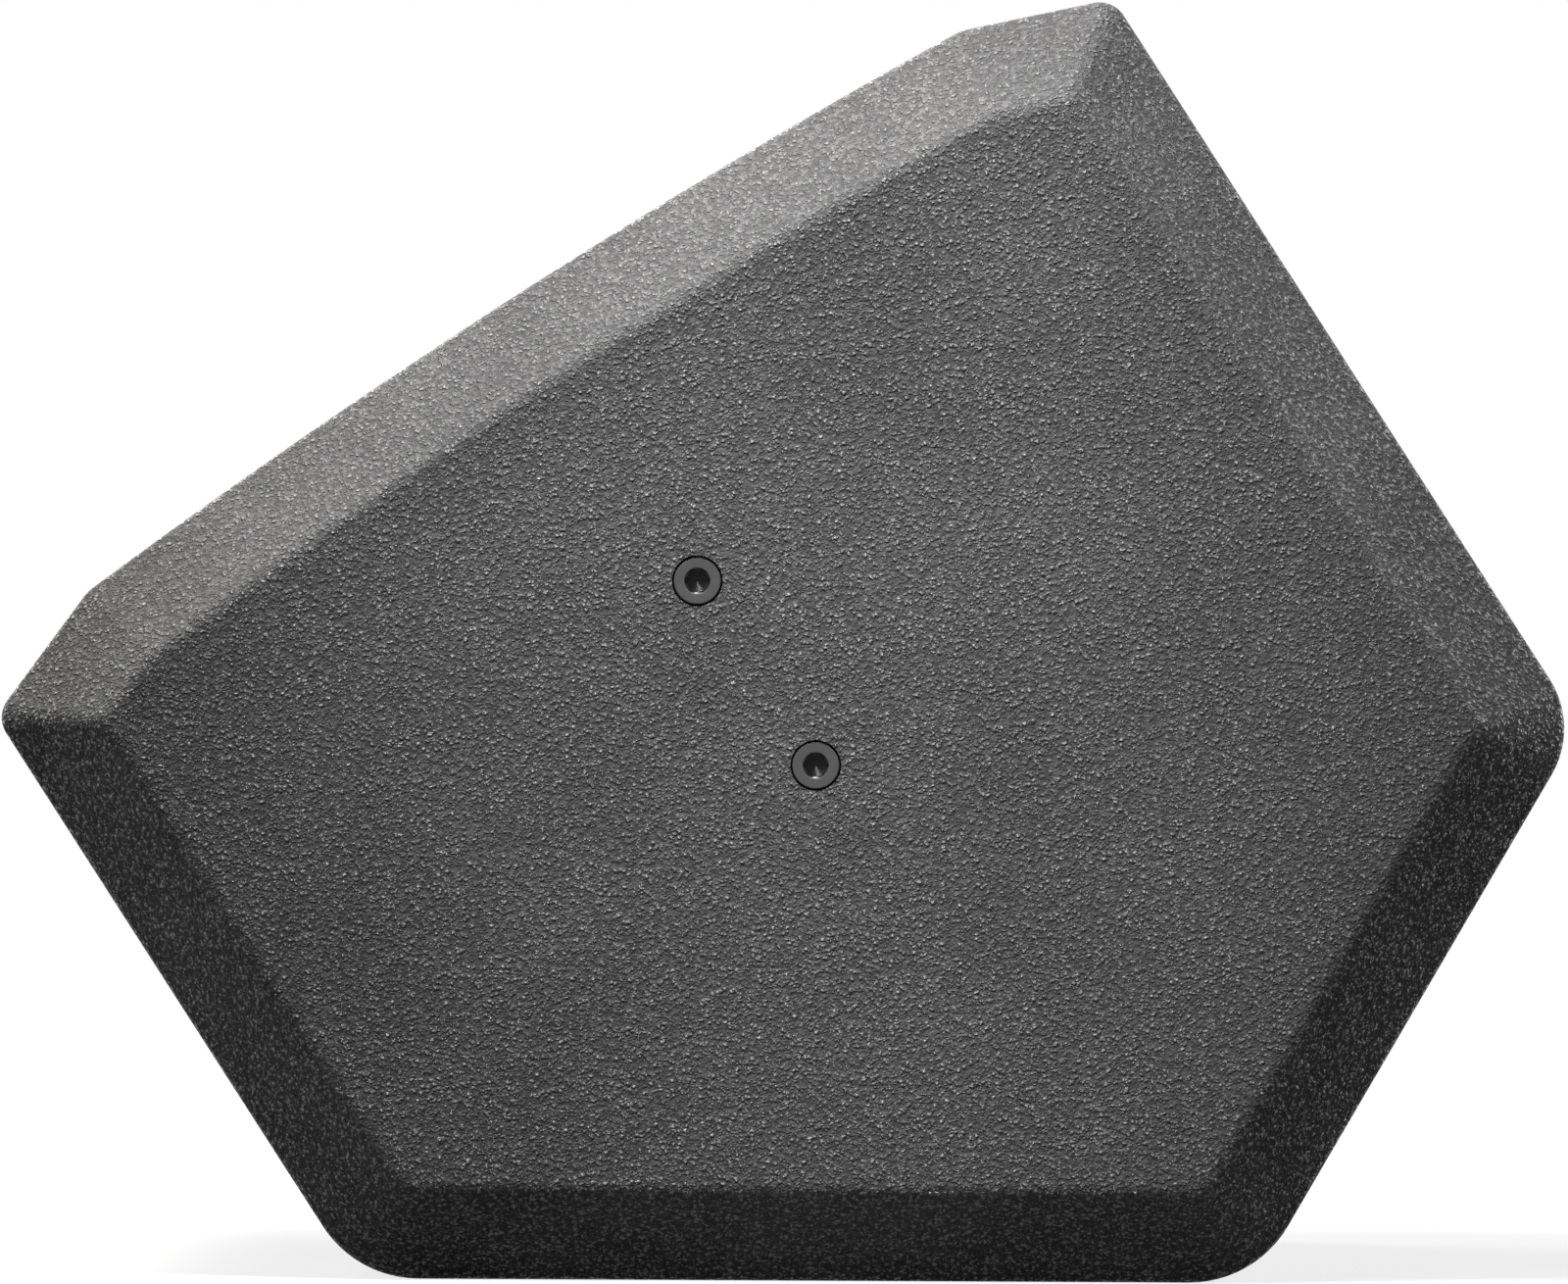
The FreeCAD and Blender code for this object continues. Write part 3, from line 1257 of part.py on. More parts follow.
def amp_pan():
    """A pressed steel tray: flange on the rear board, recessed floor with its cut-outs."""
    owner = body("tray")
    outside = ("tray_height + 2 * amp_sheet", "tray_length + 2 * amp_sheet")
    flange = sketch(owner, "XY", "sunk_face")
    rectangle(flange, ("0", "0"), ("amp_height", "amp_length"), "amp_corner")
    feature(owner, "Pad", flange, "amp_sheet", flip=True)
    walls = sketch(owner, "XY", "sunk_face")
    rectangle(walls, ("0", "0"), outside, "amp_corner")
    feature(owner, "Pad", walls, "sunk_face - panel_under", flip=True)
    hollow = sketch(owner, "XY", "sunk_face")
    rectangle(hollow, ("0", "0"), ("tray_height", "tray_length"), "amp_corner - amp_sheet")
    feature(owner, "Pocket", hollow, "sunk_face - panel_floor")
    holes = sketch(owner, "XY", "panel_floor")
    slack = "2 * fit_gap"
    rectangle(holes, (LOW, "mains_column"),
              (f"inlet_gape + 2 * inlet_wall + {slack}", f"inlet_mouth + 2 * inlet_wall + {slack}"))
    rectangle(holes, (HIGH, "mains_column"),
              (f"switch_mouth + 2 * switch_wall + {slack}", f"switch_gape + 2 * switch_wall + {slack}"))
    for column in ("input_column", "link_column"):
        circle(holes, LOW, column, "socket_radius + fit_gap")
    circle(holes, HIGH, "input_column", "bush_radius + thread_gap")
    circle(holes, HIGH, "link_column", "button_radius + button_gap")
    for step in (-1, 0, 1):
        circle(holes, HIGH, f"light_column + {step} * light_pitch", "light_radius + thread_gap")
    feature(owner, "Pocket", holes, "amp_sheet")
    piece("amp_pan", countersunk("amp_pan", owner, AMP_SCREWS, "sunk_face"), "rear")


def panel_screws():
    """The like screws of the pole socket, the handle and the amplifier."""
    rows = (("pole_row", POLE_SCREWS, "nose"), ("handle_row", HANDLE_SCREWS, "top"),
            ("amp_row", AMP_SCREWS, "rear"))
    groups = [
        place(countersunk_screws(name, places, "sunk_face"), frame) for name, places, frame in rows
    ]
    piece("panel_screws", group("panel_screws", groups))


def heat_sink():
    """An extruded sink with upright fins, on the tray's floor."""
    owner = body("sink")
    plate = sketch(owner, "XY", "panel_floor")
    rectangle(plate, ("0", "sink_middle"), ("sink_height", "sink_length"))
    feature(owner, "Pad", plate, "sink_base")
    first = sketch(owner, "XY", "panel_floor + sink_base")
    rectangle(first, ("0", "sink_middle - sink_length / 2 + sink_fin / 2"), ("sink_height", "sink_fin"))
    fin = feature(owner, "Pad", first, "sink_rise")
    doc.recompute()
    fins = owner.newObject("PartDesign::LinearPattern", "sink_fins_row")
    fins.Originals = [fin]
    fins.Direction = (first, ["V_Axis"])
    bind(fins, "Length", "sink_length - sink_fin")
    bind(fins, "Occurrences", "sink_fins")
    owner.Tip = fins
    piece("heat_sink", owner, "rear")


def mains_inlet():
    """A three-blade inlet with two sloped corners, and its blades."""
    owner = body("inlet")
    bezel = sketch(owner, "XY", "panel_floor")
    rectangle(bezel, ("0", "0"), ("inlet_height", "inlet_length"), "inlet_rounding")
    feature(owner, "Pad", bezel, "inlet_plate")
    case = sketch(owner, "XY", "panel_floor")
    rectangle(case, ("0", "0"), ("inlet_gape + 2 * inlet_wall", "inlet_mouth + 2 * inlet_wall"))
    feature(owner, "Pad", case, "inlet_depth - inlet_plate + inlet_wall", flip=True)
    mouth = profile(sketch(owner, "XY", "inlet_face"), [
        ("-mouth_x + inlet_corner", "-mouth_y"),
        ("mouth_x", "-mouth_y"),
        ("mouth_x", "mouth_y"),
        ("-mouth_x + inlet_corner", "mouth_y"),
        ("-mouth_x", "mouth_y - inlet_corner"),
        ("-mouth_x", "-mouth_y + inlet_corner"),
    ])
    feature(owner, "Pocket", mouth, "inlet_depth")
    piece("mains_inlet", owner, "rear", x=LOW, y="mains_column")
    floor = "inlet_face - inlet_depth"
    blades = []
    for step, x in ((-1, "blade_offset"), (0, "-blade_offset"), (1, "blade_offset")):
        y = f"{step} * blade_pitch"
        blades.append(box(
            "blade",
            (f"{x} - blade_width / 2", f"{x} + blade_width / 2"),
            (f"{y} - blade_thickness / 2", f"{y} + blade_thickness / 2"),
            (floor, f"{floor} + blade_rise"),
        ))
    piece("mains_pins", group("mains_pins", blades), "rear", x=LOW, y="mains_column")


def power_switch():
    """A rocker on two short pivot pins, tilted to one side in its bezel."""
    frame = body("bezel")
    plate = sketch(frame, "XY", "panel_floor")
    rectangle(plate, ("0", "0"), ("switch_length", "switch_width"))
    feature(frame, "Pad", plate, "switch_plate")
    case = sketch(frame, "XY", "panel_floor")
    rectangle(case, ("0", "0"), ("switch_mouth + 2 * switch_wall", "switch_gape + 2 * switch_wall"))
    feature(frame, "Pad", case, "switch_depth", flip=True)
    hollow = sketch(frame, "XY", "switch_face")
    rectangle(hollow, ("0", "0"), ("switch_mouth", "switch_gape"))
    feature(frame, "Pocket", hollow, "switch_plate + switch_depth - switch_wall")
    pin_end = "switch_gape / 2 + switch_wall"
    pivot = ("0", "panel_floor - rocker_pin")
    bearing = rod("bearing", "rocker_pin + thread_gap", pivot, (f"-({pin_end})", pin_end), "y")
    piece("switch_frame", cut("switch_frame", frame, bearing), "rear", x=HIGH, y="mains_column")
    rocker = body("rocker")
    half = "(switch_mouth / 2 - rocker_gap)"
    side = profile(sketch(rocker, "XZ"), [
        (f"-{half}", "0"),
        ("-rocker_foot", "-rocker_foot"),
        ("rocker_foot", "-rocker_foot"),
        (half, "0"),
        (half, "rocker_rise"),
        ("0", "rocker_rise - rocker_dip"),
        (f"-{half}", "rocker_rise"),
    ])
    feature(rocker, "Pad", side, "switch_gape - 2 * rocker_side_gap", middle=True)
    pins = rod("pivot_pins", "rocker_pin", ("0", "0"), (f"-({pin_end})", pin_end), "y")
    piece("power_rocker", fuse("power_rocker", rocker, pins), "rear",
          x=HIGH, y="mains_column", z="panel_floor - rocker_pin", tilt="rocker_throw")


def socket_shell(name):
    """A signal socket's flanged shell."""
    bottom = "cup_floor - socket_base"
    owner = revolve(name, [
        ("socket_bore / 2", "socket_face"),
        ("socket_radius", "socket_face"),
        ("socket_radius", bottom),
        ("0", bottom),
        ("0", "cup_floor"),
        ("socket_bore / 2", "cup_floor"),
    ])
    flange = sketch(owner, "XY", "socket_face")
    rectangle(flange, ("0", "0"), ("socket_length", "socket_width"), "socket_corner")
    circle(flange, "0", "0", "socket_bore / 2")
    feature(owner, "Pad", flange, "socket_plate", flip=True)
    return owner


CONTACTS = [
    (f"pin_circle / 2 * cos({angle})", f"pin_circle / 2 * sin({angle})") for angle in (90, 180, 270)
]


def signal_sockets():
    """The input with its contact insert and release tab, and the link with its three pins."""
    entry = socket_shell("entry")
    slot = sketch(entry, "XY", "socket_face")
    rectangle(slot, ("-latch_offset", "0"),
              ("latch_height + 2 * latch_gap", "latch_width + 2 * latch_gap"))
    feature(entry, "Pocket", slot, "socket_plate")
    piece("xlr_input", entry, "rear", x=LOW, y="input_column")
    insert = body("insert")
    core = circle(sketch(insert, "XY", "cup_floor"), "0", "0", "insert_diameter / 2")
    feature(insert, "Pad", core, "socket_cup - insert_drop")
    contacts = sketch(insert, "XY", "socket_face - insert_drop")
    for x, y in CONTACTS:
        circle(contacts, x, y, "pin_diameter / 2 + thread_gap")
    feature(insert, "Pocket", contacts, "contact_depth")
    piece("input_insert", insert, "rear", x=LOW, y="input_column")
    tab = body("tab")
    shape = sketch(tab, "XY", "socket_face + latch_rise")
    rectangle(shape, ("-latch_offset", "0"), ("latch_height", "latch_width"))
    feature(tab, "Pad", shape, "latch_rise + socket_plate - latch_travel - latch_gap", flip=True)
    piece("xlr_latch", tab, "rear", x=LOW, y="input_column")
    piece("xlr_link", socket_shell("exit"), "rear", x=LOW, y="link_column")
    pins = [rod("pin", "pin_diameter / 2", spot, ("cup_floor", "cup_floor + pin_rise")) for spot in CONTACTS]
    piece("xlr_link_pins", group("xlr_link_pins", pins), "rear", x=LOW, y="link_column")


def level_control():
    """A rotary control: body and bush, shaft, and a fluted knob with a pointer."""
    bush_top = "panel_floor + bush_rise"
    body_back = "panel_under - pot_depth"
    bore_floor = f"{body_back} + amp_sheet"
    piece("level_pot", revolve("pot", [
        ("0", body_back),
        ("pot_radius", body_back),
        ("pot_radius", "panel_under"),
        ("bush_radius", "panel_under"),
        ("bush_radius", bush_top),
        ("shaft_radius + thread_gap", bush_top),
        ("shaft_radius + thread_gap", bore_floor),
        ("0", bore_floor),
    ]), "rear", x=HIGH, y="input_column")
    skirt = "panel_floor + knob_gap"
    top = f"{skirt} + knob_rise"
    roof = f"{top} - knob_roof"
    knob = revolve("knob", [
        ("shaft_radius + thread_gap", f"{bush_top} + knob_gap"),
        ("knob_cavity", f"{bush_top} + knob_gap"),
        ("knob_cavity", skirt),
        ("knob_radius", skirt),
        ("knob_radius - knob_taper", top),
        ("0", top),
        ("0", roof),
        ("shaft_radius + thread_gap", roof),
    ])
    flute_sketch = circle(sketch(knob, "XY", top), "knob_radius", "0", "flute_radius")
    flute = feature(knob, "Pocket", flute_sketch, "knob_rise - knob_roof")
    doc.recompute()
    flutes = knob.newObject("PartDesign::PolarPattern", "knob_flute_ring")
    flutes.Originals = [flute]
    flutes.Axis = (flute_sketch, ["N_Axis"])
    flutes.Angle = 360
    bind(flutes, "Occurrences", "knob_flutes")
    knob.Tip = flutes
    pointer = sketch(knob, "XY", top)
    rectangle(pointer, ("-knob_radius / 2", "0"), ("knob_radius", "pointer_width"))
    feature(knob, "Pocket", pointer, "pointer_depth")
    piece("level_knob", knob, "rear", x=HIGH, y="input_column")
    shaft = rod("shaft", "shaft_radius", ("0", "0"), (f"{bore_floor} + thread_gap", roof))
    piece("level_shaft", group("level_shaft", [shaft]), "rear", x=HIGH, y="input_column")


def button_and_lights():
    """A sprung button in its switch case, and three indicator lights."""
    foot = "panel_floor - button_depth"
    cap = rod("cap", "button_radius", ("0", "0"), (foot, "panel_floor + button_rise"))
    piece("preset_button", group("preset_button", [cap]), "rear", x=HIGH, y="link_column")
    case_back = "panel_under - button_case_depth"
    half = "button_case / 2"
    case = box("case", (f"-{half}", half), (f"-{half}", half), (case_back, "panel_under"))
    way = rod("button_way", "button_radius + button_gap", ("0", "0"),
              (f"{foot} - button_travel - button_gap", "panel_under"))
    piece("preset_switch", cut("preset_switch", case, way), "rear", x=HIGH, y="link_column")
    lights = [
        rod("light", "light_radius", ("0", f"{step} * light_pitch"),
            ("panel_under - light_depth", "panel_floor + light_rise"))
        for step in (-1, 0, 1)
    ]
    piece("status_lights", group("status_lights", lights), "rear", x=HIGH, y="light_column")


def electronics():
    """The cover behind the tray, and the circuit board with its large parts."""
    half_x = "(tray_height / 2 + amp_sheet - amp_cover_margin)"
    half_y = "(tray_length / 2 + amp_sheet - amp_cover_margin)"
    back = "panel_under - amp_cover_depth"
    outer = box("cover", (f"-{half_x}", half_x), (f"-{half_y}", half_y), (back, "panel_under"))
    inner_x, inner_y = f"({half_x} - amp_sheet)", f"({half_y} - amp_sheet)"
    inner = box("cover_room", (f"-{inner_x}", inner_x), (f"-{inner_y}", inner_y),
                (f"{back} + amp_sheet", "panel_under"))
    piece("amp_cover", cut("amp_cover", outer, inner), "rear")
    face = "panel_under - circuit_gap"
    under = f"{face} - circuit_thickness"
    half_circuit = "circuit_length / 2"
    board = box("circuit", ("-circuit_height / 2", "circuit_height / 2"),
                (f"sink_middle - {half_circuit}", f"sink_middle + {half_circuit}"), (under, face))
    piece("amp_board", group("amp_board", [board]), "rear")
    pillars = [
        rod("pillar", "standoff_radius",
            (f"{end} * (circuit_height / 2 - standoff_inset)",
             f"sink_middle + {side} * (circuit_length / 2 - standoff_inset)"),
            (face, "panel_under"))
        for end in (-1, 1) for side in (-1, 1)
    ]
    piece("board_standoffs", group("board_standoffs", pillars), "rear")
    piece("transformer", tube("toroid", "toroid_bore", "toroid_radius", f"{under} - toroid_height", under),
          "rear", y="toroid_column")
    cans = [
        rod("can", "capacitor_radius",
            (f"{end} * capacitor_pitch / 2",
             f"capacitor_column + {side} * capacitor_pitch / 2"),
            (f"{under} - capacitor_height", under))
        for end in (-1, 1) for side in (-1, 1)
    ]
    piece("capacitors", group("capacitors", cans), "rear")


def build_all():
    cabinet()
    baffle()
    grille_ends()
    foam()
    basket()
    moving_cone()
    motor()
    driver_fixings()
    ports()
    rigging()
    pole_socket()
    handle()
    amp_pan()
    panel_screws()
    heat_sink()
    mains_inlet()
    power_switch()
    signal_sockets()
    level_control()
    button_and_lights()
    electronics()


def export():
    doc.recompute()
    for thing in doc.Objects:
        if {"Invalid", "Error"} & set(thing.State):
            raise RuntimeError(f"{thing.Label} failed: {thing.State}")
    os.makedirs("parts", exist_ok=True)
    for label, thing in pieces.items():
        shape = thing.Shape
        if shape.isNull() or not shape.isValid() or not shape.Solids:
            raise RuntimeError(f"{label} has no valid solid")
        shape.exportStep(f"parts/{label}.step")
        print(f"{label:24s} {len(shape.Solids):3d} solids {shape.Volume / 1000:10.2f} cm3")


build_all()
export()
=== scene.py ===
# %% [markdown]
# Powered speaker, dressed over its solid model.
# The frame holds the cabinet boards, the amplifier and the driver as plain solids in metres.
# This lesson gives them their coat, their fine shapes and their finishes, one step at a time.

# %% Load the frame
import math

import bmesh
import bpy
from mathutils import Matrix, Vector
from mathutils.geometry import delaunay_2d_cdt
from mathutils.kdtree import KDTree


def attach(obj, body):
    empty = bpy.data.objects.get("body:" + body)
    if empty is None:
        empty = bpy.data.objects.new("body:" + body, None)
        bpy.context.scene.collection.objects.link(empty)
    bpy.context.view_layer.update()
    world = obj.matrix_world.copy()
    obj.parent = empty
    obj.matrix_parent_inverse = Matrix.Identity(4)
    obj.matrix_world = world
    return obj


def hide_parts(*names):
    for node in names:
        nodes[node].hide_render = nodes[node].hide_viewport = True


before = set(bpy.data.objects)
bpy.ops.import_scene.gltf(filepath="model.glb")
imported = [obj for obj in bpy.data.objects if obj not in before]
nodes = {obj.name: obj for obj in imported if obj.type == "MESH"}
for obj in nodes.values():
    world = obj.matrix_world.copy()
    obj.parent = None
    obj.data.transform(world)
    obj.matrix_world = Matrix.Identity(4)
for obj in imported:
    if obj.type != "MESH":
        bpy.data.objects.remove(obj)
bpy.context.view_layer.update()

scene = bpy.context.scene

# %% [markdown]
# The cabinet is drawn in the side view, in millimetres: five straight boards round a wedge.
# A corner list could hold measured points, but walking round the wedge from the toe needs only
# the board lengths and slopes, so every later shape follows from these few sizes.

# %% The cabinet's side view
MM = 0.001
FRONT_TILT = 33.0
REAR_SLOPE = 60.0
BASE_LENGTH = 247.0
NOSE_LENGTH = 183.5
FRONT_SPAN = 365.0
FACET_LENGTH = 42.7
FACET_TURN = 20.8
FRONT_BOW = 4.9


def heading(degrees):
    """A unit direction in the side view."""
    turn = math.radians(degrees)
    return Vector((math.cos(turn), math.sin(turn)))


def left_of(degrees):
    """The direction to the left of a heading, which points into the cabinet."""
    return heading(degrees + 90)


NOSE_SLOPE = FRONT_TILT + 90
toe = Vector((-BASE_LENGTH / 2, 0))
heel = Vector((BASE_LENGTH / 2, 0))
nose = toe + NOSE_LENGTH * heading(NOSE_SLOPE)
crown = nose + FRONT_SPAN * heading(FRONT_TILT)
crown_drop = (crown - heel).dot(left_of(REAR_SLOPE)) / heading(NOSE_SLOPE).dot(left_of(REAR_SLOPE))
tail = crown - crown_drop * heading(NOSE_SLOPE)
print("corners", [tuple(round(c, 1) for c in p) for p in (toe, heel, tail, crown, nose)])

# %% [markdown]
# Each board carries its own pieces, so each gets a matrix from its own millimetres to the frame:
# x along the slope, y across the cabinet, z out of the board.

# %% Frames of the boards
def board_frame(middle, slope):
    """Matrix from a board's own millimetres to metres in the frame."""
    along, out = heading(slope), left_of(slope)
    turn = Matrix(((along.x, 0, out.x), (0, 1, 0), (along.y, 0, out.y))).to_4x4()
    return Matrix.Translation((middle.x * MM, 0, middle.y * MM)) @ turn @ Matrix.Scale(MM, 4)


front_board = board_frame((nose + crown) / 2, FRONT_TILT)
rear_board = board_frame((heel + tail) / 2, REAR_SLOPE + 180)
top_board = board_frame((tail + crown) / 2, NOSE_SLOPE + 180)
nose_board = board_frame((toe + nose) / 2, NOSE_SLOPE)
print("front middle", [round(c, 4) for c in front_board.translation])

# %% [markdown]
# The camera stands square on to the near cheek and far off with a long lens, because the photograph
# shows the five-sided outline with hardly any perspective. The frame's width in millimetres at the
# cheek's rim fixes the lens, and a quarter of a degree of roll follows the tilt of the base line.

# %% Camera
IMAGE_WIDTH, IMAGE_HEIGHT = 1600, 1310
MM_PER_PIXEL = 0.26925
VIEW_CENTRE = Vector((-6.82, 175.46))
CAMERA_DISTANCE = 6.0
CAMERA_ROLL = -0.3
RIM_DEPTH = 205.0

camera_data = bpy.data.cameras.new("photo_camera")
camera_data.sensor_width = 36
rim_distance = CAMERA_DISTANCE - RIM_DEPTH * MM
camera_data.lens = camera_data.sensor_width * rim_distance / (IMAGE_WIDTH * MM_PER_PIXEL * MM)
camera_data.clip_end = 100
camera = bpy.data.objects.new("photo_camera", camera_data)
camera.location = (VIEW_CENTRE.x * MM, -CAMERA_DISTANCE, VIEW_CENTRE.y * MM)
camera.rotation_euler = (math.radians(90), math.radians(CAMERA_ROLL), 0)
scene.collection.objects.link(camera)
scene.camera = camera
print("lens", round(camera_data.lens), "mm")

# %% [markdown]
# Soft studio light: one box above the front makes the bevel there pale, and four pools of light come
# down on the cheek's face. A single broad fill would be simpler, but it lights the dark bevels as much
# as the face, while a pool can stop short of them. Three weaker boxes serve the hidden sides.

# %% Lights
AIM = Vector((0, 0, 0.17))


def soft_box(name, place, size, power, tint=(1, 1, 1)):
    """A square area lamp that looks at the speaker."""
    lamp = bpy.data.lights.new(name, "AREA")
    lamp.size = size
    lamp.energy = power
    lamp.color = tint
    holder = bpy.data.objects.new(name, lamp)
    holder.location = place
    holder.rotation_euler = (AIM - Vector(place)).to_track_quat("-Z", "Y").to_euler()
    scene.collection.objects.link(holder)
    return holder


def soft_pool(name, place, aim, reach, power, size=0.12):
    """A spot lamp whose pool of light fades out evenly towards its edge."""
    lamp = bpy.data.lights.new(name, "SPOT")
    lamp.energy = power
    lamp.shadow_soft_size = size / 2
    lamp.spot_blend = 1.0
    throw = Vector(aim) - Vector(place)
    lamp.spot_size = 2 * math.atan(reach / throw.length)
    holder = bpy.data.objects.new(name, lamp)
    holder.location = place
    holder.rotation_euler = throw.to_track_quat("-Z", "Y").to_euler()
    scene.collection.objects.link(holder)
    return holder


soft_box("front_box", (-0.4, -0.2, 1.2), 0.5, 39, (1.0, 0.97, 0.93))
soft_pool("top_pool", (0.02, -1.0, 1.6), (-0.03, -0.23, 0.2), 0.29, 155)
soft_pool("crown_pool", (0.06, -1.0, 1.6), (0.02, -0.23, 0.27), 0.19, 125)
soft_pool("left_pool", (-0.9, -1.2, 1.2), (0.03, -0.23, 0.24), 0.34, 80)
soft_pool("face_pool", (-0.2, -1.7, 0.9), (0.06, -0.23, 0.27), 0.3, 55)
soft_box("rear_box", (1.3, 0.9, 0.35), 1.0, 24)
soft_box("far_box", (-0.6, 1.5, 1.2), 1.0, 22)
soft_box("nose_box", (-1.3, 0.8, 0.3), 1.0, 14)

# %% [markdown]
# The room is white to the camera and in reflections, and nearly dark to diffuse light. One bright world
# would give the same background, but it would also wash out the black coat, so the kind of ray decides.

# %% White room
def add_node(tree, kind, **settings):
    """Adds a shader node and sets its options."""
    made = tree.nodes.new(kind)
    for key, setting in settings.items():
        setattr(made, key, setting)
    return made


def background_rays(tree):
    """One for the rays that should see a white room, zero for diffuse light."""
    path = add_node(tree, "ShaderNodeLightPath")
    glossy = add_node(tree, "ShaderNodeMath", operation="MAXIMUM")
    both = add_node(tree, "ShaderNodeMath", operation="MAXIMUM")
    tree.links.new(path.outputs["Is Camera Ray"], glossy.inputs[0])
    tree.links.new(path.outputs["Is Glossy Ray"], glossy.inputs[1])
    tree.links.new(glossy.outputs[0], both.inputs[0])
    tree.links.new(path.outputs["Is Transmission Ray"], both.inputs[1])
    return both.outputs[0]


ROOM_LIGHT = 0.03
world = bpy.data.worlds.new("studio")
world.use_nodes = True
scene.world = world
sky = world.node_tree.nodes["Background"]
room = add_node(world.node_tree, "ShaderNodeMapRange")
room.inputs["To Min"].default_value = ROOM_LIGHT
world.node_tree.links.new(background_rays(world.node_tree), room.inputs["Value"])
world.node_tree.links.new(room.outputs["Result"], sky.inputs["Strength"])
sky.inputs["Color"].default_value = (1, 1, 1, 1)
print("diffuse light of the room", ROOM_LIGHT)

# %% [markdown]
# The floor is a sheet of paper under the speaker. Part of it is plain white paper, which takes the
# shadow, and part of it glows. A large lit sheet would turn grey far from the lamps, so the glow's share
# grows with the distance until it is all of the floor.

# %% Floor
FLOOR_SIZE = 14
FLOOR_DULL, PAPER_WHITE, PAPER_ROUGH = 0.05, 0.9, 0.9
FLOOR_GLOW = 0.8
GLOW_NEAR, GLOW_FAR = 0.45, 1.3
floor_mesh = bpy.data.meshes.new("studio_floor")
half = FLOOR_SIZE / 2
corners = [(-half, -half, 0), (half, -half, 0), (half, half, 0), (-half, half, 0)]
floor_mesh.from_pydata(corners, [], [(0, 1, 2, 3)])
floor = bpy.data.objects.new("studio_floor", floor_mesh)
scene.collection.objects.link(floor)
paper = bpy.data.materials.new("floor_paper")
paper.use_nodes = True
tree = paper.node_tree
matt = tree.nodes["Principled BSDF"]
matt.inputs["Base Color"].default_value = (FLOOR_DULL, FLOOR_DULL, FLOOR_DULL, 1)
matt.inputs["Roughness"].default_value = PAPER_ROUGH
matt.inputs["Specular IOR Level"].default_value = 0.0
white = add_node(tree, "ShaderNodeBsdfDiffuse")
white.inputs["Color"].default_value = (PAPER_WHITE, PAPER_WHITE, PAPER_WHITE, 1)
glow = add_node(tree, "ShaderNodeEmission")
seen = add_node(tree, "ShaderNodeMixShader")
from_middle = add_node(tree, "ShaderNodeVectorMath", operation="LENGTH")
tree.links.new(add_node(tree, "ShaderNodeTexCoord").outputs["Object"], from_middle.inputs[0])
fade = add_node(tree, "ShaderNodeMapRange")
fade.inputs["From Min"].default_value = GLOW_NEAR
fade.inputs["From Max"].default_value = GLOW_FAR
fade.inputs["To Min"].default_value = FLOOR_GLOW
tree.links.new(from_middle.outputs["Value"], fade.inputs["Value"])
tree.links.new(fade.outputs["Result"], seen.inputs["Fac"])
blend = add_node(tree, "ShaderNodeMixShader")
tree.links.new(white.outputs[0], seen.inputs[1])
tree.links.new(glow.outputs[0], seen.inputs[2])
tree.links.new(background_rays(tree), blend.inputs["Fac"])
tree.links.new(matt.outputs[0], blend.inputs[1])
tree.links.new(seen.outputs[0], blend.inputs[2])
tree.links.new(blend.outputs[0], tree.nodes["Material Output"].inputs["Surface"])
floor_mesh.materials.append(paper)
scene.view_settings.view_transform = "Standard"
print("floor of", FLOOR_SIZE, "m")

# %% [markdown]
# Powder paint, moulded plastic, rubber and castings all have a fine grain. An image could show it,
# but a node group with a scale and a share of lumps makes all of them from noise, at any size and
# without a seam.

# %% Node group: fine grain
def group_with(name, takes, gives):
    """An empty node group with its sockets, and its two end nodes."""
    group = bpy.data.node_groups.new(name, "ShaderNodeTree")
    for label, kind, start in takes:
        socket = group.interface.new_socket(label, in_out="INPUT", socket_type=kind)
        socket.default_value = start
    for label, kind in gives:
        group.interface.new_socket(label, in_out="OUTPUT", socket_type=kind)
    return group, group.nodes.new("NodeGroupInput"), group.nodes.new("NodeGroupOutput")


def feed(tree, source, socket):
    """Links an output to a socket, or sets the socket to a number."""
    if isinstance(source, (int, float)):
        socket.default_value = source
    else:
        tree.links.new(source, socket)


def maths(tree, operation, first, second):
    """A Math node; each operand is a number or an output socket."""
    made = add_node(tree, "ShaderNodeMath", operation=operation)
    feed(tree, first, made.inputs[0])
    feed(tree, second, made.inputs[1])
    return made.outputs[0]


def ranged(tree, source, low, high, to_low=0.0, to_high=1.0, smooth=True):
    """A Map Range node from low..high to to_low..to_high."""
    made = add_node(tree, "ShaderNodeMapRange")
    made.interpolation_type = "SMOOTHSTEP" if smooth else "LINEAR"
    for label, number in (("From Min", low), ("From Max", high), ("To Min", to_low), ("To Max", to_high)):
        made.inputs[label].default_value = number
    tree.links.new(source, made.inputs["Value"])
    return made.outputs["Result"]


def noise(tree, where, scale, detail=2.0, rough=0.5):
    """A Noise node; scale is a number or a socket."""
    made = add_node(tree, "ShaderNodeTexNoise")
    made.inputs["Detail"].default_value = detail
    made.inputs["Roughness"].default_value = rough
    tree.links.new(where, made.inputs["Vector"])
    feed(tree, scale, made.inputs["Scale"])
    return made.outputs["Fac"]


DOME_TOP = 0.05
CHANCE_FULL, SMALLEST_BEAD = 0.8, 0.2


def beads(tree, where, scale, width):
    """Round bumps of chance sizes: each cell's dome, from 0 to 1."""
    cells = add_node(tree, "ShaderNodeTexVoronoi", feature="F1")
    tree.links.new(where, cells.inputs["Vector"])
    feed(tree, scale, cells.inputs["Scale"])
    chance = add_node(tree, "ShaderNodeSeparateColor")
    tree.links.new(cells.outputs["Color"], chance.inputs["Color"])
    dome = ranged(tree, cells.outputs["Distance"], DOME_TOP, width, 1.0, 0.0)
    size = ranged(tree, chance.outputs[0], 0.0, CHANCE_FULL, SMALLEST_BEAD, 1.0, False)
    return maths(tree, "MULTIPLY", dome, size)


